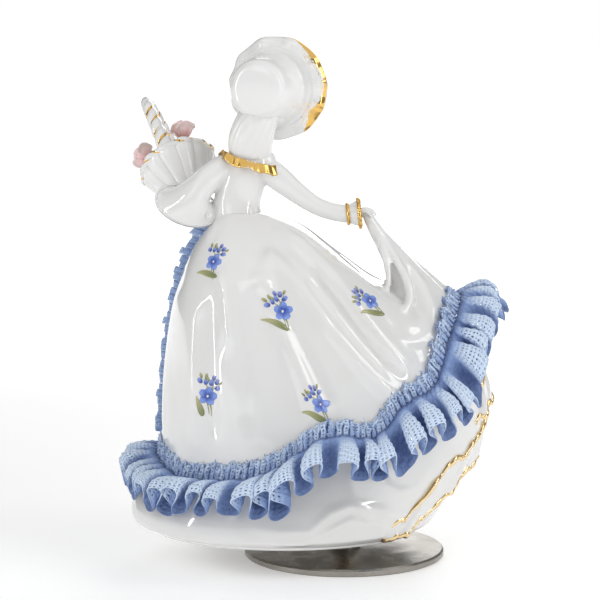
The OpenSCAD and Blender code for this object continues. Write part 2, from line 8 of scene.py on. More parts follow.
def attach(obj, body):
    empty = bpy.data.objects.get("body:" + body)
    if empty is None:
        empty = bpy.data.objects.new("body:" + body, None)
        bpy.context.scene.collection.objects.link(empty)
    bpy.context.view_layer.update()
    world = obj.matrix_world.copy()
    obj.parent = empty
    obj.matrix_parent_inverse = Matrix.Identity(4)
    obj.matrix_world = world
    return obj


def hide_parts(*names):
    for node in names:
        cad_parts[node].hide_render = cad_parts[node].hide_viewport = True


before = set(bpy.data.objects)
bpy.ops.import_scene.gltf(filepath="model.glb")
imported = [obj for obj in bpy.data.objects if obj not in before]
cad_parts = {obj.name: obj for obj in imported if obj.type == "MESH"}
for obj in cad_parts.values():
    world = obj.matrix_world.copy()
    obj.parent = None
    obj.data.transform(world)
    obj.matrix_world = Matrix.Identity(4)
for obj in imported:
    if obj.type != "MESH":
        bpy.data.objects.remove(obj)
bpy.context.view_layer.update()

mm = 0.001
rng = np.random.default_rng(7)


# ---------- camera, floor and light ----------

shot = {"place": (0.01504, 0.8, 0.19456), "pitchDown": 7.625, "lens": 143.45, "sensor": 36}
camera = bpy.data.objects.new("camera", bpy.data.cameras.new("camera"))
bpy.context.scene.collection.objects.link(camera)
camera.location = shot["place"]
camera.rotation_euler = (math.radians(90 - shot["pitchDown"]), 0, math.pi)
camera.data.lens, camera.data.sensor_width = shot["lens"], shot["sensor"]
camera.data.clip_start = 0.02
bpy.context.scene.camera = camera

studio = {"world": 0.25, "backdrop": 1.0, "key": 0.36, "leftStrip": 0.75, "rightStrip": 0.8, "right": 1.15,
          "front": 1.5, "top": 2.45}
bpy.context.scene.view_settings.view_transform = "Standard"


def areaLight(name, place, aim, size, power, colour=(1, 1, 1)):  # a soft box that looks at a point
    lamp = bpy.data.objects.new(name, bpy.data.lights.new(name, "AREA"))
    bpy.context.scene.collection.objects.link(lamp)
    lamp.data.shape, lamp.data.size, lamp.data.size_y = "RECTANGLE", size[0], size[1]
    lamp.data.energy, lamp.data.color = power, colour
    lamp.location = place
    lamp.rotation_euler = (Vector(aim) - Vector(place)).to_track_quat("-Z", "Y").to_euler()


world = bpy.data.worlds.new("room")
world.use_nodes = True
bpy.context.scene.world = world
middle = (0.01, 0, 0.08)
seen = world.node_tree.nodes.new("ShaderNodeLightPath")
# a dim room for the light, a pale backdrop behind the object
level = world.node_tree.nodes.new("ShaderNodeMapRange")
level.inputs[3].default_value, level.inputs[4].default_value = studio["world"], studio["backdrop"]
world.node_tree.links.new(seen.outputs["Is Camera Ray"], level.inputs[0])
world.node_tree.links.new(level.outputs[0], world.node_tree.nodes["Background"].inputs["Strength"])
world.node_tree.nodes["Background"].inputs["Color"].default_value = (1, 1, 1, 1)
areaLight("key", (0.4, 0.55, 0.42), middle, (0.3, 0.3), studio["key"])
areaLight("leftStrip", (0.6, 0.3, 0.2), middle, (0.025, 0.5), studio["leftStrip"])
areaLight("rightStrip", (-0.5, 0.5, 0.3), middle, (0.03, 0.5), studio["rightStrip"])
areaLight("right", (-0.65, 0.25, 0.55), middle, (0.3, 0.4), studio["right"])
areaLight("top", (0.0, 0.15, 0.75), middle, (1.3, 1.0), studio["top"])
areaLight("front", (-0.15, -0.7, 0.4), middle, (0.5, 0.5), studio["front"])


# ---------- curves and meshes ----------

def alongCurve(points, t):  # smooth curve through the points (or through rows of points), t from 0 to 1
    p = np.asarray(points, float)
    n = len(p) - 1
    u = np.clip(np.asarray(t, float), 0, 1) * n
    i = np.minimum(u.astype(int), n - 1)
    f = (u - i).reshape(u.shape + (1,) * (p.ndim - 1))
    a, b, c, d = p[np.maximum(i - 1, 0)], p[i], p[i + 1], p[np.minimum(i + 2, n)]
    return 0.5 * (2 * b + (c - a) * f + (2 * a - 5 * b + 4 * c - d) * f ** 2
                  + (3 * b - a - 3 * c + d) * f ** 3)


def evenly(points, count, fine=600):  # the same curve at equal steps of length
    p = alongCurve(points, np.linspace(0, 1, fine))
    length = np.concatenate([[0], np.cumsum(np.linalg.norm(np.diff(p, axis=0), axis=1))])
    where = np.linspace(0, length[-1], count)
    return np.stack([np.interp(where, length, p[:, k]) for k in range(p.shape[1])], -1)


def unit(v):
    return v / np.maximum(np.linalg.norm(v, axis=-1, keepdims=True), 1e-9)


def bump(x, centre, width):  # bell curve of height 1
    return np.exp(-((x - centre) / width) ** 2)


def ease(x, lo, hi):  # 0 below lo, 1 above hi, smooth between
    t = np.clip((x - lo) / (hi - lo), 0, 1)
    return t * t * (3 - 2 * t)


def awayFrom(points, line):  # distance from every point to a bent line, and how far along it, 0 to 1
    line = np.asarray(line, float)
    best = np.full(len(points), 1e9)
    along = np.zeros(len(points))
    for k in range(len(line) - 1):
        a, d = line[k], line[k + 1] - line[k]
        t = np.clip((points - a) @ d / (d @ d), 0, 1)
        away = np.linalg.norm(points - a - t[:, None] * d, axis=1)
        nearer = away < best
        best = np.where(nearer, away, best)
        along = np.where(nearer, (k + t) / (len(line) - 1), along)
    return best, along


def gridFaces(rows, cols, wrap=False):
    i = np.arange(rows - 1)[:, None]
    j = np.arange(cols if wrap else cols - 1)[None, :]
    a, b = i * cols + j, i * cols + (j + 1) % cols
    return np.stack([a, b, b + cols, a + cols], -1).reshape(-1, 4)


def slabFaces(rows, cols):  # a sheet, the same sheet turned over below it, and the rim between them
    count = rows * cols
    top = gridFaces(rows, cols)
    edge = np.concatenate([np.arange(cols), np.arange(1, rows) * cols + cols - 1,
                           (rows - 1) * cols + np.arange(cols - 2, -1, -1),
                           np.arange(rows - 2, 0, -1) * cols])
    after = np.roll(edge, -1)
    return [top, top[:, ::-1] + count, np.stack([edge, after, after + count, edge + count], -1)]


def gridNormals(g, wrap=False):  # normals of a grid of points, shape (rows, cols, 3)
    du = np.gradient(g, axis=0)
    dv = (np.roll(g, -1, 1) - np.roll(g, 1, 1)) if wrap else np.gradient(g, axis=1)
    return unit(np.cross(du, dv))


# points in millimetres, faces in arrays of quads or triangles
def newMesh(name, points, faces, marks=None):
    faces = faces if isinstance(faces, list) else [faces]
    mesh = bpy.data.meshes.new(name)
    points = np.asarray(points, float).reshape(-1, 3)
    mesh.vertices.add(len(points))
    mesh.vertices.foreach_set("co", (points * mm).ravel())
    loops = np.concatenate([f.ravel() for f in faces])
    sizes = np.concatenate([np.full(len(f), f.shape[1]) for f in faces])
    mesh.loops.add(len(loops))
    mesh.loops.foreach_set("vertex_index", loops.astype(np.int32))
    mesh.polygons.add(len(sizes))
    mesh.polygons.foreach_set("loop_start", (np.cumsum(sizes) - sizes).astype(np.int32))
    mesh.polygons.foreach_set("loop_total", sizes.astype(np.int32))
    mesh.polygons.foreach_set("use_smooth", np.ones(len(sizes), bool))
    mesh.update(calc_edges=True)
    for key, values in (marks or {}).items():
        stored = mesh.attributes.new(key, "FLOAT", "POINT").data
        stored.foreach_set("value", np.asarray(values, float).ravel())
    mesh.validate()
    obj = bpy.data.objects.new(name, mesh)
    bpy.context.scene.collection.objects.link(obj)
    return obj


def settle(obj, look, body="figurine", replaces=()):
    obj.data.materials.clear()
    obj.data.materials.append(look)
    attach(obj, body)
    if replaces:
        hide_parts(*replaces)
    return obj


def tidyNormals(obj, weld=1e-6):  # closes seams and poles, then points every face outwards
    bm = bmesh.new()
    bm.from_mesh(obj.data)
    bmesh.ops.remove_doubles(bm, verts=bm.verts, dist=weld)
    bmesh.ops.recalc_face_normals(bm, faces=bm.faces)
    bm.to_mesh(obj.data)
    bm.free()
    return obj


def thicken(obj, wall, offset=0):
    shell = obj.modifiers.new("wall", "SOLIDIFY")
    shell.thickness, shell.offset = wall * mm, offset
    return obj


def applied(obj):  # keeps the result of the modifiers and removes them
    graph = bpy.context.evaluated_depsgraph_get()
    mesh = bpy.data.meshes.new_from_object(obj.evaluated_get(graph))
    obj.modifiers.clear()
    obj.data = mesh
    mesh.polygons.foreach_set("use_smooth", np.ones(len(mesh.polygons), bool))
    return obj


def gathered(parts, order):  # points and faces of several meshes, which then go; order is of face sizes
    points = [np.array([v.co for v in p.data.vertices]) / mm for p in parts]
    starts = np.cumsum([0] + [len(p) for p in points])
    faces = []
    for part, start in zip(parts, starts):
        for corners in order:
            found = [f.vertices for f in part.data.polygons if len(f.vertices) == corners]
            if found:
                faces.append(np.array(found, int).reshape(-1, corners) + start)
        bpy.data.objects.remove(part)
    return np.concatenate(points), faces


def fused(name, parts, voxel, rounds=6):  # one skin over overlapping closed parts, smoothed where they meet
    bpy.context.view_layer.update()
    points, faces = gathered(parts, (4, 3))
    obj = newMesh(name, points, faces)
    remesh = obj.modifiers.new("remesh", "REMESH")
    remesh.mode, remesh.voxel_size, remesh.adaptivity = "VOXEL", voxel * mm, 0
    smooth = obj.modifiers.new("smooth", "SMOOTH")
    smooth.factor, smooth.iterations = 0.5, rounds
    return applied(obj)


def ringSkin(name, rings, marks=None):  # closed solid through rings of equal length, with a fan at each end
    g = np.asarray(rings, float)
    rows, cols = g.shape[:2]
    points = np.concatenate([g.reshape(-1, 3), g[0].mean(0)[None], g[-1].mean(0)[None]])
    j = np.arange(cols)
    k = (j + 1) % cols
    first = np.stack([np.full(cols, rows * cols), k, j], -1)
    last = np.stack([np.full(cols, rows * cols + 1), (rows - 1) * cols + j, (rows - 1) * cols + k], -1)
    for key in marks or {}:
        flat = np.ravel(marks[key])
        marks[key] = np.concatenate([flat, [flat[0], flat[-1]]])
    return tidyNormals(newMesh(name, points, [gridFaces(rows, cols, True), first, last], marks))


# rings of a tube; radius per station, or (stations, sides)
def tubeRings(path, radius, sides=16, squash=1.0, up=(0, 0, 1)):
    path = np.asarray(path, float)
    along = unit(np.gradient(path, axis=0))
    side = unit(np.cross(along, np.broadcast_to(np.asarray(up, float), along.shape)))
    lift = unit(np.cross(side, along))
    turn = np.linspace(0, 2 * np.pi, sides, endpoint=False)
    r = np.asarray(radius, float)
    r = np.broadcast_to(r[:, None] if r.ndim == 1 else r, (len(path), sides))
    return (path[:, None] + (r * np.cos(turn))[..., None] * side[:, None]
            + (squash * r * np.sin(turn))[..., None] * lift[:, None])


# ---------- shader maths ----------

class Wire:  # wraps a socket, so that an expression adds its nodes
    def __init__(self, tree, socket=None):
        self.tree, self.socket = tree, socket

    # any node: its settings first, then its sockets
    def add(self, kind, settings=None, inputs=None, out=0):
        node = self.tree.nodes.new(kind)
        for key, value in (settings or {}).items():
            setattr(node, key, value)
        for key, value in (inputs or {}).items():
            if isinstance(value, Wire):
                self.tree.links.new(value.socket, node.inputs[key])
            else:
                node.inputs[key].default_value = value
        return Wire(self.tree, node.outputs[out])

    def maths(self, operation, a, b=0.0):
        return self.add("ShaderNodeMath", {"operation": operation}, {0: a, 1: b})

    def __add__(self, other): return self.maths("ADD", self, other)
    def __radd__(self, other): return self.maths("ADD", other, self)
    def __sub__(self, other): return self.maths("SUBTRACT", self, other)
    def __rsub__(self, other): return self.maths("SUBTRACT", other, self)
    def __mul__(self, other): return self.maths("MULTIPLY", self, other)
    def __rmul__(self, other): return self.maths("MULTIPLY", other, self)
    def __truediv__(self, other): return self.maths("DIVIDE", self, other)
    def __pow__(self, other): return self.maths("POWER", self, other)

    def outputOf(self, index):  # another output of the same node
        return Wire(self.tree, self.socket.node.outputs[index])

    def fade(self, lo, hi, atLo=0.0, atHi=1.0):  # smooth step from atLo to atHi
        return self.add("ShaderNodeMapRange", {"interpolation_type": "SMOOTHSTEP"},
                        {0: self, 1: lo, 2: hi, 3: atLo, 4: atHi})

    def blend(self, low, high):  # colour between two colours
        return self.add("ShaderNodeMix", {"data_type": "RGBA"}, {0: self, 6: low, 7: high}, out=2)

    def noise(self, scale, detail=3.0, rough=0.5):
        place = self.add("ShaderNodeTexCoord", out=3)
        return self.add("ShaderNodeTexNoise", {}, {"Vector": place, "Scale": scale, "Detail": detail,
                                                   "Roughness": rough})

    def mark(self, name):  # a number stored on the mesh
        return self.add("ShaderNodeAttribute", {"attribute_name": name}, out=2)


def rgb(r, g, b):
    return (r, g, b, 1.0)


def finish(name, base, roughness, fixed=None, grain=None):
    # a Principled look; base, roughness and the sockets in fixed are values or functions of a Wire, and
    # grain is (noise scale, bump distance in mm, strength)
    look = bpy.data.materials.new(name)
    look.use_nodes = True
    tree = look.node_tree
    shader = tree.nodes["Principled BSDF"]
    w = Wire(tree)
    for socket, value in dict({"Base Color": base, "Roughness": roughness}, **(fixed or {})).items():
        value = value(w) if callable(value) else value
        if isinstance(value, Wire):
            tree.links.new(value.socket, shader.inputs[socket])
        else:
            shader.inputs[socket].default_value = value
    if grain:
        scale, distance, strength = grain
        ridges = w.add("ShaderNodeBump", {}, {"Height": w.noise(scale, 2.0), "Distance": distance * mm,
                                              "Strength": strength})
        tree.links.new(ridges.socket, shader.inputs["Normal"])
    return look


def mottled(low, high, scale, detail=3.0, span=(0.35, 0.7), rough=0.5):  # two colours in soft patches
    return lambda w: w.noise(scale, detail, rough).fade(*span).blend(low, high)


def uneven(smooth, rough, scale, detail=3.0):  # a roughness that changes in soft patches
    return lambda w: w.noise(scale, detail).fade(0.3, 0.7, smooth, rough)


glazeSockets = {"IOR": 1.52, "Coat Weight": 0.6, "Coat Roughness": 0.03, "Subsurface Weight": 0.12,
                "Subsurface Radius": (1.0, 0.9, 0.8), "Subsurface Scale": 0.0012}

# nearly white, a touch warmer in slow patches
glazeBase = mottled(rgb(0.83, 0.83, 0.825), rgb(0.80, 0.80, 0.785), 38, 2.0, (0.4, 0.65))
porcelain = finish("white glaze", glazeBase, uneven(0.05, 0.11, 160, 2.0), glazeSockets,
                   grain=(220, 0.03, 0.25))
goldLustre = finish("gold lustre", mottled(rgb(0.86, 0.56, 0.16), rgb(0.66, 0.38, 0.09), 420),
                    uneven(0.12, 0.34, 700), {"Metallic": 1.0}, grain=(900, 0.05, 0.4))


def goldMask(w):  # gold brushed on by hand: full where the mark is high, stippled where it thins out
    fine = 1.3 * (w.noise(3200, 2.0, 0.6) - 0.5)
    return (w.mark("gilt") + 0.5 * (w.noise(600, 3.0, 0.6) - 0.5) + fine).fade(0.48, 0.6)


def gilded(name, mask, gold, roughness, grain=None):  # white glaze with gold where the mask is 1
    return finish(name, lambda w: mask(w).blend(glazeBase(w), gold), roughness,
                  dict(glazeSockets, **{"Metallic": mask, "Subsurface Weight": 0.0}), grain=grain)


giltGlaze = gilded("gilded glaze", goldMask, rgb(0.80, 0.50, 0.13), 0.16, (300, 0.03, 0.3))
paleGilt = gilded("pale gilding", goldMask, rgb(0.92, 0.70, 0.38), 0.26, (400, 0.05, 0.3))


def laceShadeAndHighlight(w):  # painted shade: near black in the valleys of the pleats and by the seam; blue on the slopes; painted highlight: pale on the crests
    high = (w.mark("crest") + 0.3 * w.noise(900, 3.0)).fade(0.55, 1.2)
    low = (w.mark("crest") + 0.3 * w.noise(700, 3.0)).fade(0.0, 0.75)
    return high.blend(low.blend(rgb(0.024, 0.058, 0.20), rgb(0.25, 0.37, 0.67)), rgb(0.64, 0.77, 0.96))


laceBlue = finish("lace slip", laceShadeAndHighlight, uneven(0.42, 0.66, 1500, 2.0),
                  {"Specular IOR Level": 0.45, "Sheen Weight": 0.25, "Sheen Roughness": 0.5},
                  grain=(2600, 0.12, 0.5))


# ---------- skirts ----------

# z, left x, right x, back y, front y of the petticoat from the foot to the waist
petticoatForm = [
    (9.5, 65, -25, 36, -36), (13, 71.5, -30, 41.5, -41.5), (19, 72, -34, 42.5, -43), (27, 66, -39, 40.5, -42),
    (38, 59, -45, 37.5, -40), (52, 57, -48, 34, -37), (66, 54, -46, 29, -33.5), (79, 50, -37, 24, -29),
    (87, 47.5, -25, 20, -25), (95, 46, -3, 15.5, -21), (105, 43, 16, 10, -14), (117.5, 39.5, 30.5, 5, -6)]
petticoatSize = {"levels": 150, "around": 300, "wall": 2.6, "topHeight": 116.8}


def petticoatAt(w, z, out=0.0):
    # a point at angle w (degrees round from +X) and height z
    heights = np.array([f[0] for f in petticoatForm])
    u = np.interp(z, heights, np.linspace(0, 1, len(heights)))
    f = alongCurve(petticoatForm, u)
    c, a = (f[..., 1] + f[..., 2]) / 2, (f[..., 1] - f[..., 2]) / 2 + out
    cw, sw = np.cos(np.radians(w)), np.sin(np.radians(w))
    depth = np.where(sw > 0, f[..., 3] + out, -f[..., 4] + out)
    return np.stack(np.broadcast_arrays(c + a * cw, depth * sw, z), -1)


# soft lines pressed into the petticoat at the back, each a bent line in x and z with its height and width
petticoatLines = [
    ([(30, 18.5), (22, 17.2), (11.8, 17.3), (5.3, 22.9), (-1.1, 25.2), (-10.9, 23.1), (-16, 20.5),
      (-22, 20)], 0.9, 1.7),
    ([(24, 13.6), (14, 13.2), (6, 17), (-1, 20.5), (-9, 18.6), (-15, 15.2)], 0.6, 1.3),
    ([(-2, 34), (-10, 33), (-17, 28.5), (-23, 29), (-28, 36)], 0.7, 1.8)]


def makePetticoat():
    size = petticoatSize
    w = np.linspace(0, 360, size["around"], endpoint=False)
    z = np.concatenate([np.linspace(9.5, 20, 40, endpoint=False),
                        np.linspace(20, size["topHeight"], size["levels"] - 40)])
    g = petticoatAt(w[None, :], z[:, None])
    n = gridNormals(g, True)
    flat = g.reshape(-1, 3)
    lift = np.zeros(len(flat))
    for line, height, width in petticoatLines:
        away, along = awayFrom(flat[:, [0, 2]], line)
        ends = np.sin(np.pi * np.clip(along, 0.02, 0.98)) ** 0.5
        lift += height * np.exp(-(away / width) ** 2) * ends * (flat[:, 1] > 0)
    lift -= 0.25 * bump(flat[:, 2], 10.2, 0.5)
    g = g - n * lift.reshape(g.shape[:2])[..., None]
    foot = [np.array([12 + r * np.cos(np.radians(w)), r * np.sin(np.radians(w)), np.full(len(w), h)]).T
            for r, h in ((32.9, 9.5), (32.9, 11.4), (30, 11.4), (30, 12.9))]
    inner = petticoatAt(w[None, :], np.array([13.5, 20, 40, 60, 80, 100, 108])[:, None], -size["wall"])
    rings = np.concatenate([g[::-1], np.array(foot), inner])
    return settle(ringSkin("petticoat_shell", rings), porcelain, replaces=["petticoat"])


# waist to hem, from the left front edge round the back to the right front edge
overskirtLines = [
    [(39.5, -5, 117), (51, -11, 104), (57, -15, 85), (60.5, -18, 60), (62, -19, 37)],
    [(41.5, 1, 118), (51, 1, 105), (57, 1, 88), (61, 0, 62), (62, 0, 36)],
    [(40, 5, 118), (48, 14, 106), (52.5, 20, 90), (54.5, 24, 64), (53.5, 23, 33)],
    [(37.5, 7, 118), (41.5, 20, 107), (41, 28.5, 92), (38.5, 34, 66), (37, 36, 34)],
    [(34.5, 7.5, 118), (33, 20, 108), (29, 29, 96), (25.5, 35.5, 70), (23, 40.5, 37)],
    [(31.5, 7, 118), (26, 18, 109), (18, 28, 96), (10, 36, 74), (6, 43, 47.5)],
    [(29.5, 5.5, 118), (21, 16.5, 110), (8, 26, 96), (-5, 34, 74), (-9, 39, 47)],
    [(29, 4, 118), (18, 14, 112.5), (3.5, 23, 100), (-12, 30, 79), (-18.5, 35, 57.5)],
    [(28.5, 2, 118), (16, 9, 113.5), (1, 16, 102.5), (-16, 24, 85), (-28.5, 28, 63)],
    [(28.5, 0.5, 118), (15, 4, 113.5), (1, 8.5, 103), (-15, 16, 90.5), (-33, 20, 77.5)],
    [(28.5, -1.5, 118), (15, -3, 112.5), (1, -4, 102.5), (-14, -3, 93.5), (-38, 1, 88)],
    [(29, -5, 117), (17, -12, 107), (3, -19, 96), (-13, -23, 88), (-36, -17, 85)]]
# folds seen from behind: bent line in x and z, height, width
overskirtFolds = [
    ([(28.8, 106), (24.5, 104), (20.9, 101), (15, 95), (5.3, 82), (-4.4, 72), (-17.5, 59)], 2.1, 3.0),
    ([(31.3, 101), (27.4, 97), (24, 91), (19.9, 82), (15, 70), (9, 54)], 1.9, 2.8),
    ([(42, 101), (39.4, 96), (38.4, 88), (37.5, 76)], 1.3, 2.4),
    ([(49.3, 92), (49.9, 75), (49.9, 59), (49.9, 39)], 1.2, 3.4),
    ([(25.6, 114), (15, 108), (5.3, 98), (-2, 90), (-12, 78), (-23, 66)], 1.8, 2.8),
    ([(56.5, 96), (58.6, 78), (60, 60), (60.5, 42)], 0.8, 2.4),
    ([(34, 112), (31, 80), (28.5, 60), (27, 42)], 0.7, 3.6)]
overskirtHollows = [
    ([(29.5, 96), (20, 86), (12, 72), (3, 56)], 1.5, 2.6),
    ([(12, 101), (3, 90), (-6, 78), (-14, 68)], 1.3, 2.6),
    ([(44.5, 92), (44.5, 70), (44, 45)], 0.9, 3.0),
    ([(34, 92), (32.5, 72), (32, 50)], 0.9, 2.8)]
overskirtSize = {"around": 260, "down": 150, "wall": 1.8}


def overskirtNet(s, t):  # first down each line, then across the lines
    return alongCurve(np.array([alongCurve(line, t) for line in overskirtLines]), s)


def makeOverskirt():
    size = overskirtSize
    g = overskirtNet(np.linspace(0, 1, size["around"]), np.linspace(0, 1, size["down"]))
    n = -gridNormals(g)
    flat = g.reshape(-1, 3)
    lift = np.zeros(len(flat))
    for folds, sign in ((overskirtFolds, 1), (overskirtHollows, -1)):
        for line, height, width in folds:
            away, along = awayFrom(flat[:, [0, 2]], line)
            ends = ease(along, 0, 0.16) * (1 - ease(along, 0.9, 1.0) * 0.7)
            lift += sign * height * np.exp(-(away / width) ** 2) * ends * ease(flat[:, 1], -4, 4)
    g = g + n * lift.reshape(g.shape[:2])[..., None]
    inner = g - n * size["wall"]
    points = np.concatenate([g.reshape(-1, 3), inner.reshape(-1, 3)])
    return tidyNormals(newMesh("overskirt_shell", points, slabFaces(*g.shape[:2])))


# cloth gathered in the right hand: centre x, centre y, z, half width, half depth
trainForm = [(-7, 2.6, 117.6, 1.7, 2.0), (-10.5, 2.4, 111.5, 2.9, 3.2), (-15.3, 2.2, 104.8, 4.3, 4.4),
             (-20, 2, 98, 6.0, 5.8), (-23.2, 3, 92, 8.8, 8.2), (-24.6, 4, 86, 11.4, 11.5),
             (-24.5, 4, 80, 11.8, 13)]
# folds that hang from the hand and swing round under it
trainFolds = [
    ([(-13.5, 3, 108), (-20, 5, 100.5), (-26.2, 8, 92), (-28.6, 13, 84.5), (-25.6, 20.5, 77.2),
      (-18, 26, 76.6), (-9.5, 28.2, 81.5), (-2.9, 27, 88)], (1.0, 1.7, 2.3, 2.5, 2.5, 2.3, 1.9, 1.0)),
    ([(-12.5, 5, 109.5), (-17, 8, 102), (-20.4, 11.5, 95.5), (-21.2, 15.5, 89), (-17.8, 19.5, 85.4),
      (-11.5, 20.8, 87.2)], (0.9, 1.4, 1.7, 1.7, 1.5, 0.8)),
    ([(-11, 0, 111), (-19, -1, 103), (-28, 0, 94.5), (-36, 1, 88)], (1.2, 2.0, 2.6, 2.2)),
    ([(-10, 4, 112), (-13.2, 8, 103), (-14.4, 11, 96), (-13.2, 13.5, 91)], (0.9, 1.2, 1.2, 0.9))]


def makeTrain():
    f = alongCurve(trainForm, np.linspace(0, 1, 60))
    turn = np.linspace(0, 2 * np.pi, 72, endpoint=False)
    fold = 1 + 0.07 * np.cos(6 * turn + 1.0)[None] * ease(np.linspace(0, 1, 60), 0.05, 0.5)[:, None]
    x = f[:, :1] + f[:, 3:4] * fold * np.cos(turn)
    y = f[:, 1:2] + f[:, 4:5] * fold * np.sin(turn)
    rings = np.stack([x, y, np.broadcast_to(f[:, 2:3], fold.shape)], -1)
    parts = [ringSkin("trainBody", rings)]
    for k, (path, radius) in enumerate(trainFolds):
        t = np.linspace(0, 1, 50)
        thick = alongCurve(np.array(radius)[:, None], t)[:, 0]
        parts.append(ringSkin("trainFold%d" % k, tubeRings(alongCurve(path, t), thick)))
    return parts


# ---------- lace ----------

netHole = {"size": 0.25, "least": 0.16}


def lattice(columns, rows):  # every pair of a column and a row
    return np.stack(np.meshgrid(columns, rows, indexing="ij"), -1).reshape(-1, 2)


def laceNet(name, cols, rows, place, thick, replaces=()):
    # a net of square cells, each with a round hole; place turns cloth coordinates (column, row) into points
    corner = lattice(np.arange(cols + 1), np.arange(rows + 1)).astype(float)
    across = lattice(np.arange(cols) + 0.5, np.arange(rows + 1))
    down = lattice(np.arange(cols + 1), np.arange(rows) + 0.5)
    turn = np.arange(8) * np.pi / 4 - 0.75 * np.pi
    ring = netHole["size"] * np.stack([np.cos(turn), np.sin(turn)], -1)
    cell = lattice(np.arange(cols) + 0.5, np.arange(rows) + 0.5)
    # the slip has closed the holes in the valleys
    crest = place(cell[:, 0] / cols, cell[:, 1] / rows)[1]
    open_ = netHole["least"] + (1 - netHole["least"]) * ease(crest, 0.4, 0.8)
    hole = (cell[:, None] + open_[:, None, None] * ring[None]).reshape(-1, 2)
    cloth = np.concatenate([corner, across, down, hole])
    i, j = [v.ravel() for v in np.meshgrid(np.arange(cols), np.arange(rows), indexing="ij")]
    atCorner = lambda a, b: a * (rows + 1) + b
    atAcross = lambda a, b: len(corner) + a * (rows + 1) + b
    atDown = lambda a, b: len(corner) + len(across) + a * rows + b
    first = len(corner) + len(across) + len(down) + 8 * (i * rows + j)
    outer = np.stack([atCorner(i, j), atAcross(i, j), atCorner(i + 1, j), atDown(i + 1, j),
                      atCorner(i + 1, j + 1), atAcross(i, j + 1), atCorner(i, j + 1), atDown(i, j)], -1)
    inner = first[:, None] + np.arange(8)
    quads = np.stack([outer, np.roll(outer, -1, 1), np.roll(inner, -1, 1), inner], -1).reshape(-1, 4)
    points, values = place(cloth[:, 0] / cols, cloth[:, 1] / rows)
    obj = newMesh(name, points, quads, {"crest": values})
    thicken(obj, thick)
    return settle(obj, laceBlue, replaces=replaces)


# pairs along the hem, from the left front round the back to the right front: sewn edge, free edge
hemLace = [
    ((62, -18, 38), (73, -22, 29)), ((62.5, 0, 37), (73.5, -1, 28)), ((54, 23.5, 34.5), (63.5, 30, 24)),
    ((37.5, 37, 35.5), (40.5, 47.5, 26)), ((23, 41.5, 38.5), (23, 51, 28)), ((6, 44, 49), (7, 52, 38.5)),
    ((-9.5, 40, 48.5), (-12.5, 49, 37.5)), ((-19, 35.5, 58.5), (-27.5, 41, 47)),
    ((-29, 28.5, 64), (-41, 31.5, 56.5)),
    ((-33.5, 20, 78), (-46, 19, 70)), ((-38.5, 1, 88.5), (-54, -1, 84)), ((-36, -17, 85.5), (-51, -20, 84))]
hemDrop = {"seam": 3.0, "free": 2.5}  # how much lower the lace hangs at the left
flounce = {"pleats": 27, "cellsPerPleat": 20, "rows": 12, "depth": 3.7, "overhang": 0.6, "thread": 0.4,
           "length": 232.0}


def hemFrame(s):  # seam, free edge, way along the seam, way down the lace and way out of it
    seam, free = [evenly([p[k] for p in hemLace], 500) for k in (0, 1)]
    grid = np.linspace(0, 1, 500)
    seam[:, 2] -= 1.0 + hemDrop["seam"] * (1 - ease(grid, 0.28, 0.5))
    free[:, 2] -= hemDrop["free"] * (1 - ease(grid, 0.05, 0.28))
    a, b = [np.stack([np.interp(s, grid, c[:, k]) for k in range(3)], -1) for c in (seam, free)]
    slope = unit(np.stack([np.interp(s, grid, np.gradient(seam[:, k])) for k in range(3)], -1))
    fall = unit(b - a)
    out = unit(np.cross(slope, fall))
    return a, b, slope, fall, out * np.sign(out[:, 2:3] + 0.25 * out[:, 1:2] + 1e-6)


def hemPlace(s, e):
    # pleats swing out along the normal and double back along the seam, more so towards the free edge
    f = flounce
    a, b, slope, _, out = hemFrame(s)
    wobble = 0.5 * np.sin(2 * np.pi * 7.3 * s) + 0.4 * np.sin(2 * np.pi * 12.1 * s + 1)
    turn = 2 * np.pi * f["pleats"] * s + wobble * 1.6
    size = 1 + 0.3 * np.sin(2 * np.pi * 5.2 * s + 0.4) + 0.18 * np.sin(2 * np.pi * 17 * s)
    open_ = (0.14 + 0.86 * ease(e, 0.0, 0.85)) * size
    pitch = f["length"] / f["pleats"]
    reach = e * (1 - 0.13 * np.cos(turn) * ease(e, 0.5, 1) + 0.06 * np.sin(2 * np.pi * 3.1 * s)
                 + 0.05 * np.sin(2 * np.pi * 19.3 * s))
    p = a + reach[:, None] * (b - a)
    p += (f["depth"] * open_ * np.cos(turn))[:, None] * out
    p += (f["overhang"] * pitch / 2 * open_ * np.sin(2 * turn) * 0.8)[:, None] * slope
    p += (1.6 + 2.2 * np.sin(np.pi * np.clip(e, 0, 1)))[:, None] * out
    p += 0.12 * np.stack([np.sin(91 * s * 7 + e * 40), np.sin(77 * s * 9 + e * 31),
                          np.sin(83 * s * 8 + e * 37)], -1)
    # crest carries the lace's painted light: a painted highlight on the crests of the pleats, painted shade
    # in the valleys and along the seam; the hole sizes also follow it
    crest = 0.5 + 0.5 * np.cos(turn) * ease(e, 0, 0.5) + 0.15 * e - 0.5 * (1 - ease(e, 0, 0.16))
    return p, crest


def laceRun(place, lo, hi):  # the part of a strip between two places along it
    return lambda s, e: place(lo + (hi - lo) * s, e)


def makeFlounce():
    f = flounce
    cols = f["pleats"] * f["cellsPerPleat"]
    cuts = np.linspace(0, 1, 5)
    for k in range(4):
        laceNet("hem_lace_%d" % (k + 1), cols // 4, f["rows"], laceRun(hemPlace, cuts[k], cuts[k + 1]),
                f["thread"], replaces=["hem_lace_flounce"] if k == 0 else ())


heading = {"ruffles": 96, "cellsPerRuffle": 5, "rows": 5, "height": 4.8, "depth": 0.6, "thread": 0.42}


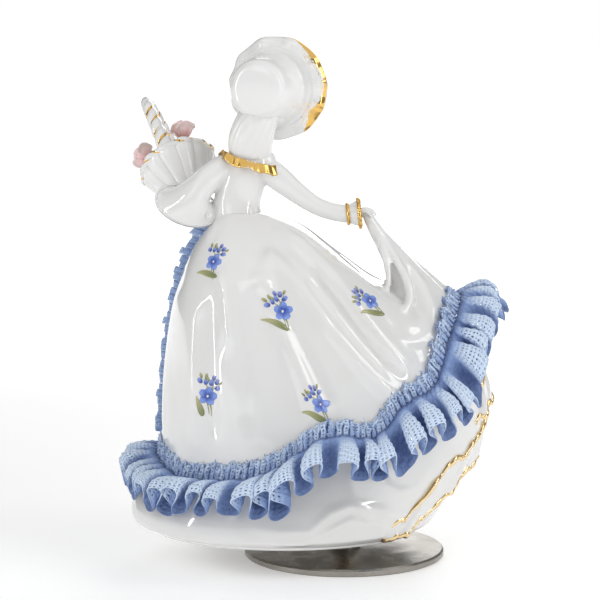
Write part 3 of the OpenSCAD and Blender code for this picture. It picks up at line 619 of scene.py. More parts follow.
def headingPlace(s, e):
    # a tight ruffle that stands up from the seam and leans outwards
    h = heading
    a, _, slope, fall, out = hemFrame(s)
    turn = 2 * np.pi * h["ruffles"] * s + 0.8 * np.sin(2 * np.pi * 13 * s)
    rise = e * h["height"] * (1 + 0.16 * np.sin(2 * np.pi * 29 * s) + 0.12 * np.sin(2 * np.pi * 67 * s))
    # upright at the left, along the cloth at the right
    stand = unit(np.array([0, 0, 1.6]) * (1 - ease(s, 0.3, 0.55))[:, None] - fall)
    p = a + rise[:, None] * stand + (1.1 + 0.9 * e + h["depth"] * (0.5 + e) * np.cos(turn))[:, None] * out
    p += (0.5 * np.sin(2 * turn) * (0.3 + e))[:, None] * slope
    p += 0.3 * e[:, None] * np.stack([np.sin(311 * s + 9 * e), np.sin(401 * s * 1.7),
                                      np.sin(509 * s * 1.3 + 4)], -1)
    # the second value is painted light for the lace colour: paler towards the top and on each ruffle, painted
    # shade between the ruffles, with a small change in tone along the seam
    return p, 0.42 + 0.3 * e + 0.22 * np.cos(turn) + 0.12 * np.sin(173 * s)


fray = {"count": 4200, "length": 1.7, "thick": 0.16}


def makeFray():  # short bent threads that stand out of the heading, each a three-sided tube of a few faces
    n = fray["count"]
    s, e = rng.random(n), rng.random(n) ** 0.7
    foot = headingPlace(s, e)[0]
    up = unit(headingPlace(s, np.minimum(e + 0.3, 1.3))[0] - foot)
    lean = unit(up + 0.9 * rng.normal(size=(n, 3)))
    bend = unit(lean + 0.7 * rng.normal(size=(n, 3)))
    size = fray["length"] * (0.45 + 0.75 * rng.random(n))[:, None]
    path = np.stack([foot - 0.2 * lean * size, foot + 0.45 * size * lean,
                     foot + size * (0.45 * lean + 0.5 * bend)], 1)
    side = unit(np.cross(lean, up + 0.1))
    lift = unit(np.cross(side, lean))
    turn = np.arange(3) * 2 * np.pi / 3
    ring = fray["thick"] * (np.cos(turn)[None, :, None] * side[:, None]
                            + np.sin(turn)[None, :, None] * lift[:, None])
    g = path[:, :, None] + ring[:, None] * np.array([1.2, 1.0, 0.5])[None, :, None, None]
    one = gridFaces(3, 3, True)
    faces = (one[None] + 9 * np.arange(n)[:, None, None]).reshape(-1, 4)
    caps = (np.array([[2, 1, 0], [6, 7, 8]])[None] + 9 * np.arange(n)[:, None, None]).reshape(-1, 3)
    crest = np.repeat(0.25 + 0.8 * rng.random(n), 9)
    obj = newMesh("hem_heading_fray", g.reshape(-1, 3), [faces, caps], {"crest": crest})
    settle(tidyNormals(obj, 1e-8), laceBlue)


def makeHeading():
    h = heading
    cols = h["ruffles"] * h["cellsPerRuffle"]
    for k in range(2):
        laceNet("hem_heading_%d" % (k + 1), cols // 2, h["rows"],
                laceRun(headingPlace, k / 2, k / 2 + 0.5), h["thread"],
                replaces=["hem_lace_heading"] if k == 0 else ())


frontLace = {"cells": 190, "rows": 6, "ruffles": 33, "width": 3.5, "thread": 0.36}


def frontLacePlace(side, outward):
    # a narrow ruffle along one front edge: it stands off the edge and swings in and out as it runs down
    def place(s, e):
        base = overskirtNet(np.array([side]), np.linspace(0.015, 0.985, 300))[0]
        base = evenly(base, 400)
        grid = np.linspace(0, 1, 400)
        p = np.stack([np.interp(s, grid, base[:, k]) for k in range(3)], -1)
        along = unit(np.stack([np.interp(s, grid, np.gradient(base[:, k])) for k in range(3)], -1))
        lift = unit(np.cross(along, np.broadcast_to(outward, along.shape)))
        f = frontLace
        wide = f["width"] * (1 + 1.0 * (1 - ease(s, 0.0, 0.22)) + 0.2 * np.sin(61 * s)
                             + 0.12 * np.sin(143 * s))
        turn = (2 * np.pi * f["ruffles"] * s + 1.3 * np.sin(2 * np.pi * 3.3 * s)
                + 0.7 * np.sin(2 * np.pi * 9.7 * s))
        p = p + (wide * (e - 0.14))[:, None] * unit(np.array(outward, float))
        p += ((1.15 * (0.35 + e) * np.cos(turn))[:, None] * lift
              + (0.9 * e * np.sin(2 * turn))[:, None] * along)
        # the second value is painted light for the lace colour: a painted highlight where each ruffle swings
        # out, painted shade where it swings in, paler towards the free edge
        return p, 0.72 + 0.35 * np.cos(turn) + 0.25 * e
    return place


def makeFrontLace():
    f = frontLace
    for name, side, outward in (("left", 0.0, (0.92, -0.30, 0.25)), ("right", 1.0, (-0.35, -0.75, -0.55))):
        laceNet("front_lace_%s_net" % name, f["cells"], f["rows"], frontLacePlace(side, outward), f["thread"],
                replaces=["front_lace_" + name])


# ---------- painted flowers ----------

# flower centres over the skirt: x, z, turn of the flower, its buds and its leaf in degrees, and whether the
# leaf hangs down
sprigs = [(43.3, 103, -6, -4, 22, 0), (20.5, 88, 4, 18, 0, 0), (-7.8, 90.5, 10, 40, 4, 0),
          (45, 60, -8, -12, 0, 1), (8.2, 59, 4, 24, 0, 0)]
# petals and buds: place right and up of the centre, length, width, direction in degrees, tone (0 green, 1
# blue, 2 white)
sprigPetals = ([(0, 0, 3.1, 2.6, 84 + 72 * k, 1.0) for k in range(5)] + [(0, -0.6, 1.2, 1.2, 90, 2.0)]
               + [(-3.2, 3.4, 2.1, 1.6, 155, 1.15), (-1.9, 3.2, 1.9, 1.5, 105, 1.1),
                  (-0.3, 3.5, 2.1, 1.7, 100, 1.05), (0.9, 4.5, 2.1, 1.7, 72, 1.2),
                  (1.1, 3.2, 2.1, 1.6, 25, 1.1), (-0.2, 5.5, 1.8, 1.4, 98, 1.25)])
sprigGreens = [(-3.8, 4.8, 2.0, 1.0, 128, 0.0), (-2.5, 5.0, 1.9, 1.0, 100, 0.0),
               (2.3, 5.0, 1.5, 0.8, 60, 0.0), (-1.5, 4.4, 1.6, 0.9, 112, 0.0)]
# thin stems: points right and up of the centre, half width at the start
sprigStems = [([(-0.2, 1.5), (-1.2, 2.8), (-3.2, 4.9)], 0.2), ([(0.1, 1.5), (0.3, 3.6), (-0.1, 5.8)], 0.2),
              ([(0.4, 2.4), (1.5, 3.8), (2.6, 5.4)], 0.16), ([(0.9, -2.0), (1.6, -4.0), (2.0, -6.4)], 0.24),
              ([(0.2, -2.2), (0.8, -4.2), (1.3, -6.0)], 0.18)]
sprigLeaf = {"along": [(1.5, -6.2), (-0.6, -4.9), (-3.2, -3.5), (-5.6, -2.6), (-7.6, -2.3)],
             "down": [(-0.7, -6.8), (-1.6, -5.0), (-2.8, -2.8), (-3.8, -0.6)],
             "width": 1.05, "relief": 0.2}


# a rounded petal that starts at its foot; flat, with its relief as height
def petalPatch(x, y, length, width, direction, tone):
    u, v = np.meshgrid(np.linspace(-1, 1, 9), np.linspace(0, 1, 9), indexing="ij")
    wide = 0.5 * width * np.sin(np.pi * np.clip(0.06 + 0.86 * v, 0, 1)) ** 0.6
    a = math.radians(direction)
    px, py = length * v, u * wide
    relief = (1 - np.abs(u) ** 2) * np.sin(np.pi * np.clip(0.1 + 0.86 * v, 0, 1)) ** 0.7
    return np.stack([x + px * math.cos(a) - py * math.sin(a), y + px * math.sin(a) + py * math.cos(a),
                     relief], -1), v, tone


def stripPatch(line, width, leaf):  # a stem or a leaf along a bent line
    u, v = np.meshgrid(np.linspace(-1, 1, 7), np.linspace(0, 1, 15), indexing="ij")
    p = alongCurve(np.array(line), v[0])
    side = unit(np.stack([-np.gradient(p[:, 1]), np.gradient(p[:, 0])], -1))
    wide = width * (np.sin(np.pi * np.clip(v, 0.03, 1) ** 0.62) ** 0.9 + 0.06 if leaf else 1 - 0.45 * v)
    q = p[None] + u[..., None] * wide[..., None] * side[None]
    return np.stack([q[..., 0], q[..., 1], (1 - u ** 2) * (1.0 if leaf else 0.6)], -1), v, 0.0


def sprigSkin(name, look, skirt, patches):  # lays patches on the skirt and raises them as thin enamel
    grids, reliefs, tips, tones, outs = zip(*patches)
    sizes = [h.size for h in reliefs]
    starts = np.concatenate([[0], np.cumsum(sizes)[:-1]])
    points = np.concatenate([g.reshape(-1, 3) for g in grids])
    relief = np.concatenate([h.ravel() for h in reliefs])
    outwards = np.concatenate([np.tile(out, (n, 1)) for out, n in zip(outs, sizes)])
    marks = {"tone": np.repeat([float(tone) for tone in tones], sizes),
             "tip": np.concatenate([tip.ravel() for tip in tips])}
    faces = [gridFaces(*h.shape) + start for h, start in zip(reliefs, starts)]
    obj = newMesh(name, points, faces, marks)
    wrap = obj.modifiers.new("wrap", "SHRINKWRAP")
    wrap.wrap_method, wrap.target = "NEAREST_SURFACEPOINT", skirt
    applied(obj)
    where, normal = np.zeros(len(points) * 3), np.zeros(len(points) * 3)
    obj.data.vertices.foreach_get("co", where)
    obj.data.vertices.foreach_get("normal", normal)
    normal = normal.reshape(-1, 3)
    normal *= np.sign((normal * outwards).sum(1, keepdims=True) + 1e-9)
    height = (0.05 + sprigLeaf["relief"] * relief) * mm
    obj.data.vertices.foreach_set("co", (where.reshape(-1, 3) + normal * height[:, None]).ravel())
    obj.data.update()
    settle(thicken(obj, 0.14, -1), look)


def petalBase(w):  # blue petals, paler at the tip, violet buds and a white middle
    violet = w.mark("tone").fade(1.0, 1.25)
    tip = (w.mark("tip") + 0.5 * (w.noise(1600, 3.0) - 0.5)).fade(0.15, 0.85)
    blue = tip.blend(violet.blend(rgb(0.04, 0.09, 0.42), rgb(0.07, 0.09, 0.34)),
                     violet.blend(rgb(0.22, 0.34, 0.80), rgb(0.28, 0.34, 0.72)))
    return w.mark("tone").fade(1.4, 1.6).blend(blue, rgb(0.80, 0.80, 0.72))


def stemBase(w):
    return w.mark("tip").fade(0.1, 0.9).blend(rgb(0.22, 0.25, 0.10), rgb(0.46, 0.44, 0.22))


enamel = {"Coat Weight": 0.5, "Coat Roughness": 0.05}
petalGlaze = finish("blue enamel", petalBase, 0.2, enamel)
stemGlaze = finish("green enamel", stemBase, 0.22, enamel)


def turnedFlat(patch, degrees):  # the patch turned about the flower's centre
    g, v, tone = patch
    c, q = math.cos(math.radians(degrees)), math.sin(math.radians(degrees))
    return g[..., 0] * c - g[..., 1] * q, g[..., 0] * q + g[..., 1] * c, g[..., 2], v, tone


def makeSprigs(skirt):
    blues, greens = [], []
    for x, z, turn, nod, leafTurn, hangs in sprigs:
        hits = [skirt.ray_cast(Vector((x + dx, 90, z + dz)) * mm, Vector((0, -1, 0)))
                for dx in (0, -3, 3) for dz in (0, -3, 3)]
        centre = np.array(hits[0][1]) / mm
        out = unit(np.sum([h[2] for h in hits if h[0]], axis=0))
        up = unit(np.array([0, 0, 1]) - out[2] * out)
        right = np.cross(up, out) * -1
        right = right * np.sign(-right[0])

        def placed(patch, degrees):  # from the flat drawing to the plane that touches the skirt there
            px, py, h, v, tone = turnedFlat(patch, degrees)
            return centre + px[..., None] * right + py[..., None] * up + out, h, v, tone, out

        blues += [placed(petalPatch(*row), turn + (nod if k > 5 else 0))
                  for k, row in enumerate(sprigPetals)]
        greens += [placed(petalPatch(*row), turn + nod) for row in sprigGreens]
        greens += [placed(stripPatch(line, width, False), turn + (nod if line[-1][1] > 0 else 0))
                   for line, width in sprigStems]
        leaf = stripPatch(sprigLeaf["down" if hangs else "along"], sprigLeaf["width"], True)
        greens.append(placed(leaf, turn + leafTurn))
    sprigSkin("skirt_flowers", petalGlaze, skirt, blues)
    sprigSkin("skirt_leaves", stemGlaze, skirt, greens)


# angle round from +X in degrees, then the heights of a tier's top and free edge
tiers = {
    "lower": [(132, 16.5, 12.4), (136, 18, 12.7), (139, 22.5, 13), (142, 29.5, 13.6), (144.5, 36, 16),
              (148, 37.5, 18.6), (152, 36.5, 21.5), (159, 40.5, 27), (168, 44, 32), (178, 48, 36),
              (190, 51, 38), (205, 48, 36), (225, 40, 30), (260, 34, 25), (300, 34, 24), (346, 36, 26)],
    "upper": [(158, 56, 49), (168, 62, 52), (180, 68, 56), (192, 68, 56), (210, 60, 50), (240, 54, 44),
              (280, 52, 41), (346, 54, 43)]}
tier = {"ripple": 3.6, "flute": 0.5, "flare": 1.0, "wall": 0.8, "piping": 0.9, "scallop": 8.5,
        "around": 560, "down": 22, "radius": 52}


# a point of a tier at angle w, e from its top edge to its free edge, with how far it stands out
def tierAt(rows, w, e):
    rows = np.array(rows, float)
    high, low = [np.interp(w, rows[:, 0], rows[:, k]) for k in (1, 2)]
    run = np.radians(w) * tier["radius"] + high
    turn = run / tier["ripple"] + 0.8 * np.sin(run * 0.17)  # one ripple every few millimetres round
    sweep = 2 * np.pi * run / tier["scallop"]
    edge = 1.9 * np.abs(np.sin(sweep / 2 + 0.5 * np.sin(sweep * 0.31))) + 0.3 * np.cos(turn) - 0.8
    z = high + (low - high) * e - edge * ease(e, 0.55, 1.0) + edge * (1 - ease(e, 0.0, 0.4))
    ends = ease(w, rows[0, 0], rows[0, 0] + 7)
    out = -0.5 + ends * (0.75 + tier["flare"] * e ** 1.4 + tier["flute"] * np.cos(turn) * (0.25 + e))
    return petticoatAt(w, z, out)


def makeTiers():
    for name, rows in tiers.items():
        around, down = tier["around"], tier["down"]
        w = np.linspace(rows[0][0], rows[-1][0], around)
        e = np.linspace(0, 1, down)
        g = tierAt(rows, w[:, None], e[None, :])
        sheet = newMesh("petticoat_tier_" + name, g.reshape(-1, 3), gridFaces(around, down))
        settle(thicken(sheet, tier["wall"]), porcelain, replaces=["petticoat_frill_" + name])
        for k, at in ((0, 0.03), (1, 1.0)):
            path = tierAt(rows, w, np.full(around, at))
            thick = tier["piping"] * (1 + 0.35 * np.sin(w * 1.7) * np.sin(w * 0.63))
            gilt = np.repeat(1.5 + 0.3 * np.sin(w * 0.41 + k), 8)
            piping = ringSkin("%s_tier_piping_%d" % (name, k + 1), tubeRings(path, thick, 8),
                              {"gilt": gilt})
            settle(piping, paleGilt)


makePetticoat()
makeTiers()
print("petticoat done")
skirt = fused("overskirt_and_train", [makeOverskirt()] + makeTrain(), 0.72, 9)
settle(skirt, porcelain, replaces=["overskirt", "raised_train"])
print("overskirt and train done", len(skirt.data.polygons))
makeFlounce()
makeHeading()
makeFray()
makeFrontLace()
print("lace done")
makeSprigs(skirt)
print("painted flowers done")


# ---------- body, arms and hands ----------

# centre x, centre y, half width, half depth, z of the bodice
bodiceForm = [(36.0, 1.0, 8.4, 7.4, 114.5), (36.2, 0.6, 8.0, 6.6, 118), (36.1, 0.4, 7.9, 6.1, 121),
              (35.0, 0, 8.1, 6.3, 125.5), (33.4, -0.4, 8.3, 6.8, 130.5), (31.9, -0.4, 8.9, 6.3, 134),
              (31.4, 0, 7.6, 4.8, 137), (30.9, 0, 4.1, 3.6, 139)]
bustAt = {"z": 129.3, "spread": 3.1, "height": 1.5, "width": 2.7}


def solidTube(name, stations, steps=40, sides=24, squash=1.0):  # stations are x, y, z, radius
    f = alongCurve(stations, np.linspace(0, 1, steps))
    path, radius = f[:, :3], f[:, 3]
    ends = np.linspace(0.15, 1, 5) ** 0.5  # rounded ends
    along = unit(np.gradient(path, axis=0))
    head = path[:1] - along[:1] * radius[0] * np.sqrt(1 - ends ** 2)[:, None]
    tail = path[-1:] + along[-1:] * radius[-1] * np.sqrt(1 - ends[::-1] ** 2)[:, None]
    path = np.concatenate([head[:-1], path, tail[1:]])
    radius = np.concatenate([radius[0] * ends[:-1], radius, radius[-1] * ends[::-1][1:]])
    return ringSkin(name, tubeRings(path, radius, sides, squash, (0, 1, 0.02)))


def spun(x, y, z=0.0):  # a turn about X, then Y, then Z, in degrees
    about = [Matrix.Rotation(math.radians(a), 3, axis) for a, axis in ((z, "Z"), (y, "Y"), (x, "X"))]
    return np.array(about[0] @ about[1] @ about[2])


def ball(name, centre, radii, turned=(0, 0, 0), steps=26):  # egg with three half sizes, turned in degrees
    v, u = np.linspace(0.02, np.pi - 0.02, steps), np.linspace(0, 2 * np.pi, 2 * steps, endpoint=False)
    g = np.stack([np.sin(v)[:, None] * np.cos(u), np.sin(v)[:, None] * np.sin(u),
                  np.cos(v)[:, None] * np.ones(len(u))], -1)
    return ringSkin(name, (g * radii) @ spun(*turned).T + centre)


def makeBodice():
    f = alongCurve(bodiceForm, np.linspace(0, 1, 90))
    w = np.linspace(0, 2 * np.pi, 96, endpoint=False)
    x = f[:, :1] + f[:, 2:3] * np.cos(w)
    y = f[:, 1:2] + f[:, 3:4] * np.sin(w)
    z = np.broadcast_to(f[:, 4:5], x.shape).copy()
    for side in (-1, 1):
        swell = bump(x - f[:, :1], side * bustAt["spread"], bustAt["width"]) * bump(z, bustAt["z"], 3.2)
        y -= bustAt["height"] * swell * (np.sin(w) < 0)
    torso = ringSkin("torso", np.stack([x, y, z], -1))
    parts = [torso,
             solidTube("rightSleeve", [(26.8, 0.2, 132.4, 4.3), (22.5, 1.0, 129.2, 4.5),
                                       (16.5, 2.1, 124.4, 3.7), (10, 2.8, 120, 3.15),
                                       (4, 3, 117.7, 3.0), (-1.6, 3, 116.9, 3.1)]),
             loft("leftSleeve", leftSleeve, 60, 72, 1.3)]
    return settle(fused("bodice_and_sleeves", parts, 0.36, 6), porcelain,
                  replaces=["bodice", "left_sleeve", "left_sleeve_frill", "right_sleeve"])


def loft(name, rows, steps, sides, wall=0.0):
    # rows hold a centre and two half axes; a wall turns back inside
    w = np.linspace(0, 2 * np.pi, sides, endpoint=False)[None, :, None]
    f = alongCurve(rows, np.linspace(0, 1, steps))[:, None, :]
    grow = np.linalg.norm(f[..., 3:6], axis=-1, keepdims=True)
    outer = f[..., :3] + f[..., 3:6] * np.cos(w) + f[..., 6:9] * np.sin(w)
    if not wall:
        return ringSkin(name, outer)
    inner = f[..., :3] + (f[..., 3:6] * np.cos(w) + f[..., 6:9] * np.sin(w)) * (1 - wall / grow)
    return ringSkin(name, np.concatenate([outer, inner[:steps // 3:-1]]))


# centre and two half axes of the left sleeve, from the shoulder to its wide mouth
leftSleeve = [(37.2, 0.2, 134.4, 2.6, 0, 3.0, 0, 3.8, 0), (41, 1.2, 132.3, 2.8, 0, 3.2, 0, 4.5, 0),
              (45, 2.2, 129.2, 3.0, 0, 3.5, 0, 5.1, 0), (48.4, 2.8, 126, 3.6, 0, 3.2, 0, 5.4, -0.6),
              (50.8, 2.9, 123.2, 5.6, 0, 2.4, 0, 5.7, -2.4), (52.2, 2.3, 121, 8.4, 0, 2.0, 0, 5.8, -4.4),
              (52.9, 1.6, 119.6, 10.6, 0, 2.5, 0, 5.6, -6.2)]


def makeSleeveEdge():  # a small curl and a raised bead on the rim of the sleeve's mouth
    w = np.linspace(0, 2 * np.pi, 181)[:, None]
    last = np.array(leftSleeve[-1])
    rim = last[:3] + 0.985 * (last[3:6] * np.cos(w) + last[6:9] * np.sin(w))
    bead = newMesh("left_sleeve_bead", tubeRings(rim, np.full(181, 0.42), 10).reshape(-1, 3),
                   gridFaces(181, 10))
    settle(tidyNormals(bead), porcelain)
    t = np.linspace(0, 1, 90)
    turn, r = 4.4 * np.pi * t, 0.15 + 0.75 * t
    path = np.stack([45.4 + r * np.cos(turn), 7.2 - 0.25 * r * np.sin(turn) - 0.2 * t,
                     116.9 + r * np.sin(turn)], -1)
    thick = 0.26 * np.sin(np.pi * np.clip(t, 0.06, 0.94)) ** 0.4
    settle(ringSkin("left_sleeve_curl", tubeRings(path, thick, 10)), porcelain)


# four fingers and a thumb for each hand: stations x, y, z, radius
rightFingers = [[(-6.0, 1.6, 118.3, 0.75), (-8.2, 1.4, 117.9, 0.68), (-9.6, 2.0, 116.6, 0.55)],
                [(-6.2, 2.6, 118.6, 0.78), (-8.6, 2.5, 118.2, 0.7), (-10.1, 3.0, 116.8, 0.55)],
                [(-6.1, 3.6, 118.5, 0.76), (-8.3, 3.7, 118.1, 0.68), (-9.6, 4.2, 116.7, 0.55)],
                [(-5.8, 4.5, 118.0, 0.68), (-7.6, 4.9, 117.6, 0.6), (-8.8, 5.2, 116.3, 0.5)],
                [(-5.2, 1.4, 116.9, 0.8), (-6.8, 1.0, 115.8, 0.72), (-8.3, 1.6, 114.9, 0.58)]]
leftFingers = [[(49.8, -9.6, 116.4, 0.8), (48.4, -11.6, 117.6, 0.72), (48.2, -12.4, 119.4, 0.55)],
               [(50.9, -10.4, 116.4, 0.82), (50.2, -12.6, 117.4, 0.74), (50.2, -13.6, 119.4, 0.56)],
               [(52.1, -10.5, 116.4, 0.8), (52.0, -12.7, 117.4, 0.72), (52.2, -13.7, 119.4, 0.55)],
               [(53.1, -9.9, 116.5, 0.72), (53.6, -11.9, 117.6, 0.64), (54.0, -12.7, 119.4, 0.5)],
               [(49.2, -7.4, 116.2, 0.85), (46.8, -7.8, 117.2, 0.76), (45.8, -8.2, 118.8, 0.6)]]


def makeHands():
    right = [ball("palm", (-4.9, 2.9, 117.7), (2.0, 2.1, 1.35), (0, 12, 0)),
             solidTube("wrist", [(-2, 3, 116.9, 1.5), (-4.5, 3, 117.4, 1.5)], 8)]
    right += [solidTube("finger%d" % k, f, 14, 12) for k, f in enumerate(rightFingers)]
    settle(fused("right_hand_skin", right, 0.19, 5), porcelain, replaces=["right_hand"])
    left = [ball("palm", (51.4, -8.2, 116.0), (2.4, 2.4, 1.25), (-12, 0, 0)),
            solidTube("forearm", [(53.6, 3.5, 120.8, 2.9), (53.9, 0.2, 119.2, 2.7),
                                  (53.4, -3.6, 117.4, 2.2), (52.0, -7.0, 116.2, 1.75)], 24, 20)]
    left += [solidTube("finger%d" % k, f, 14, 12) for k, f in enumerate(leftFingers)]
    settle(fused("left_hand_skin", left, 0.2, 5), porcelain, replaces=["left_hand"])


cuff = {"from": (-0.6, 3.0, 116.85), "to": (-4.9, 3.0, 117.25), "radius": 3.2, "flare": 1.3}


def makeCuff():  # a flared tube between two gold rings, its free edge waved
    w = np.linspace(0, 2 * np.pi, 96, endpoint=False)
    a, b = np.array(cuff["from"]), np.array(cuff["to"])
    along = unit(b - a)
    side = unit(np.cross(along, (0, 1, 0)))

    def ring(u, grow):
        r = cuff["radius"] + cuff["flare"] * u ** 1.5 + 0.22 * u * np.cos(9 * w) + grow
        upright = (r * np.sin(w))[:, None] * np.array([0, 1, 0])
        return a + (b - a) * u + (r * np.cos(w))[:, None] * side + upright

    rings = [ring(u, 0) for u in np.linspace(0, 1, 16)] + [ring(u, -0.8) for u in np.linspace(1, 0.1, 8)]
    settle(ringSkin("right_cuff_flare", rings), porcelain)
    bands = []
    for u, thick in ((0.1, 0.6), (0.98, 0.72)):
        path = np.concatenate([ring(u, 0.05), ring(u, 0.05)[:1]])
        band = ringSkin("band", tubeRings(path, np.full(len(path), thick), 10, 1.0, tuple(along)))
        bands.append(band)
    gold = joined("right_cuff_gold", bands)
    settle(gold, goldLustre, replaces=["right_cuff"])


def joined(name, parts):  # several meshes as one piece
    marks = {key.name: np.concatenate([np.array([m.value for m in p.data.attributes[key.name].data])
                                       for p in parts])
             for key in parts[0].data.attributes if key.data_type == "FLOAT" and key.domain == "POINT"}
    points, faces = gathered(parts, (3, 4))
    return newMesh(name, points, faces, marks)


neckRuffle = {"centre": (31.3, 0.2, 136.4), "half": (9.2, 7.2), "lean": 0.27, "waves": 9, "width": 3.5}


def makeNeckRuffle():  # a band round the shoulders: width goes outwards and down, its edge waves
    r = neckRuffle
    s = np.linspace(0, 2 * np.pi, 480, endpoint=False)
    e = np.linspace(0, 1, 12)
    wave = (np.cos(r["waves"] * s + 0.9 * np.sin(3 * s)) * (0.7 + 0.3 * np.sin(2 * s + 1))
            + 0.12 * np.cos(29 * s + 2 * np.sin(2 * s)))
    cx, cy, cz = r["centre"]
    out = 1.0 + r["width"] * e[:, None] * 0.42
    x = cx + (r["half"][0] + out - 1 + 0.35 * e[:, None] * wave) * np.cos(s)
    y = cy + (r["half"][1] + out - 1 + 0.35 * e[:, None] * wave) * np.sin(s)
    z = (cz + r["lean"] * (x - cx) - 1.5 * bump(np.sin(s), 1, 0.7) - 2.2 * bump(np.sin(s), -1, 0.8)
         - r["width"] * 0.8 * e[:, None] + 0.5 * (0.2 + e[:, None]) * wave)
    g = np.stack(np.broadcast_arrays(x, y, z), -1)
    gilt = (0.75 + 0.35 * np.sin(np.pi * e)[:, None] * np.ones_like(x) + 0.14 * np.sin(3 * s + 0.4)
            + 0.12 * np.sin(7 * s))
    obj = newMesh("neckline_gold_ruffle", g.reshape(-1, 3), gridFaces(12, 480, True), {"gilt": gilt})
    settle(tidyNormals(thicken(obj, 0.55)), giltGlaze, replaces=["neckline_ruffle"])


# ---------- head, hair and hat ----------

headPlace = {"centre": (24.6, -3.6, 153.6), "turn": -20.0, "half": (6.9, 8.1, 9.3)}


def turned(points, degrees, centre):  # local points turned about +Z and moved to the centre
    c, s = math.cos(math.radians(degrees)), math.sin(math.radians(degrees))
    p = np.asarray(points, float)
    return np.stack([p[..., 0] * c - p[..., 1] * s, p[..., 0] * s + p[..., 1] * c, p[..., 2]],
                    -1) + np.asarray(centre, float)


def makeHead():
    # egg whose front (-Y side) narrows to the chin, with bell-shaped rises and hollows for the features
    v = np.linspace(-np.pi / 2 + 0.02, np.pi / 2 - 0.02, 220)[:, None]
    u = np.linspace(-np.pi, np.pi, 300, endpoint=False)[None, :]
    hx, hy, hz = headPlace["half"]
    narrow = 1 - 0.30 * ease(-np.sin(v), 0.1, 1.0)
    x = hx * narrow * np.cos(v) * np.sin(u)
    y = -hy * np.cos(v) * np.cos(u) * (1 - 0.10 * ease(-np.sin(v), 0.2, 1))
    z = hz * np.sin(v) + 0 * u
    front = ease(-y, 1.5, 5.0)
    rise = np.zeros_like(x)
    rise += 1.35 * bump(x, 0, 0.95) * ease(z, -4.0, -3.0) * (1 - ease(z, -3.0, 1.6))
    rise += 0.55 * bump(x, 0, 0.8) * bump(z, -2.9, 0.8)
    for side in (-1, 1):
        rise += 0.32 * bump(x, side * 0.95, 0.55) * bump(z, -3.2, 0.5)
        rise -= 0.62 * bump(x, side * 2.5, 1.45) * bump(z, 0.25, 1.0)
        rise += 0.5 * bump(x, side * 2.5, 1.0) * bump(z, -0.05, 0.62)
        rise += 0.22 * bump(x, side * 2.6, 1.8) * bump(z, 1.9, 0.6)
        rise += 0.42 * bump(x, side * 3.5, 1.7) * bump(z, -2.6, 1.7)
        rise += 0.20 * bump(x, side * 0.75, 0.8) * bump(z, -4.75, 0.3)
    rise += 0.42 * bump(x, 0, 1.35) * bump(z, -4.95, 0.36) + 0.5 * bump(x, 0, 1.15) * bump(z, -5.75, 0.4)
    rise -= 0.34 * bump(x, 0, 1.6) * bump(z, -5.35, 0.16) + 0.25 * bump(x, 0, 1.4) * bump(z, -6.4, 0.4)
    rise += 0.55 * bump(x, 0, 1.5) * bump(z, -7.6, 0.9)
    y = y - rise * front
    marks = {"faceX": np.where(y < 0, x, 99), "faceZ": z}
    local = np.stack([x, y, z], -1)
    head = ringSkin("head_skin", turned(local, headPlace["turn"], headPlace["centre"]), marks)
    settle(head, faceGlaze, replaces=["head"])
    neck = solidTube("neck_skin", [(31.0, 0.2, 134.5, 4.6), (30.6, -0.4, 138.5, 3.6),
                                   (29.0, -1.4, 142.5, 3.3), (27.0, -2.2, 147.5, 3.5)], 50, 48)
    settle(neck, porcelain)


def faceBase(w):  # painted lips, lashes, irises, brows and a blush on the white glaze, and a painted highlight in each eye
    x, z = w.mark("faceX"), w.mark("faceZ")
    side = w.maths("ABSOLUTE", x)

    def spot(cx, cz, rx, rz, soft, sx=side):
        away = w.maths("SQRT", ((sx - cx) / rx) ** 2.0 + ((z - cz) / rz) ** 2.0)
        return away.fade(1.0 - soft, 1.0 + soft, 1.0, 0.0)

    colour = glazeBase(w)
    layers = [(spot(3.5, -2.9, 1.9, 1.5, 0.9) * 0.42, rgb(0.86, 0.42, 0.38)),
              (spot(0.0, -5.75, 1.25, 0.42, 0.25, x), rgb(0.70, 0.20, 0.20)),
              (spot(0.62, -4.98, 0.85, 0.34, 0.25), rgb(0.66, 0.17, 0.18)),
              (spot(2.5, 0.0, 0.62, 0.66, 0.1), rgb(0.16, 0.27, 0.42)),
              (spot(2.5, 0.0, 0.27, 0.3, 0.15), rgb(0.02, 0.02, 0.025)),
              # a small white dot in each iris: a painted highlight
              (spot(2.35, 0.22, 0.12, 0.12, 0.3), rgb(0.9, 0.9, 0.9)),
              (spot(2.5, -0.28, 1.32, 0.95, 0.04) * (1.0 - spot(2.5, -0.42, 1.25, 0.86, 0.06))
               * z.fade(-0.05, 0.12), rgb(0.12, 0.07, 0.045)),
              (spot(2.55, 1.15, 1.7, 0.9, 0.05) * (1.0 - spot(2.55, 1.0, 1.6, 0.86, 0.08))
               * z.fade(1.55, 1.75) * 0.8, rgb(0.26, 0.17, 0.11))]
    for mask, paint in layers:
        colour = mask.blend(colour, paint)
    return colour


faceGlaze = finish("painted glaze", faceBase, 0.09, glazeSockets, grain=(220, 0.02, 0.2))


def strands(turn, count, depth):  # rounded grooves side by side
    return depth * (np.abs(np.cos(turn * count / 2)) ** 0.7 - 0.6)


def curl(name, stations, radius, twists, lobes=3):  # a ringlet: a tube whose lobes wind along it
    t = np.linspace(0, 1, 110)
    path = alongCurve(stations, t)
    turn = np.linspace(0, 2 * np.pi, 30, endpoint=False)
    fat = radius * np.sin(np.pi * np.clip(t, 0.04, 0.985)) ** 0.35 * (1 - 0.25 * t)
    r = fat[:, None] * (1 + 0.17 * np.cos(lobes * turn[None] + 2 * np.pi * twists * t[:, None]))
    return ringSkin(name, tubeRings(path, r, 30, 1.0, (0, 1, 0.1)))


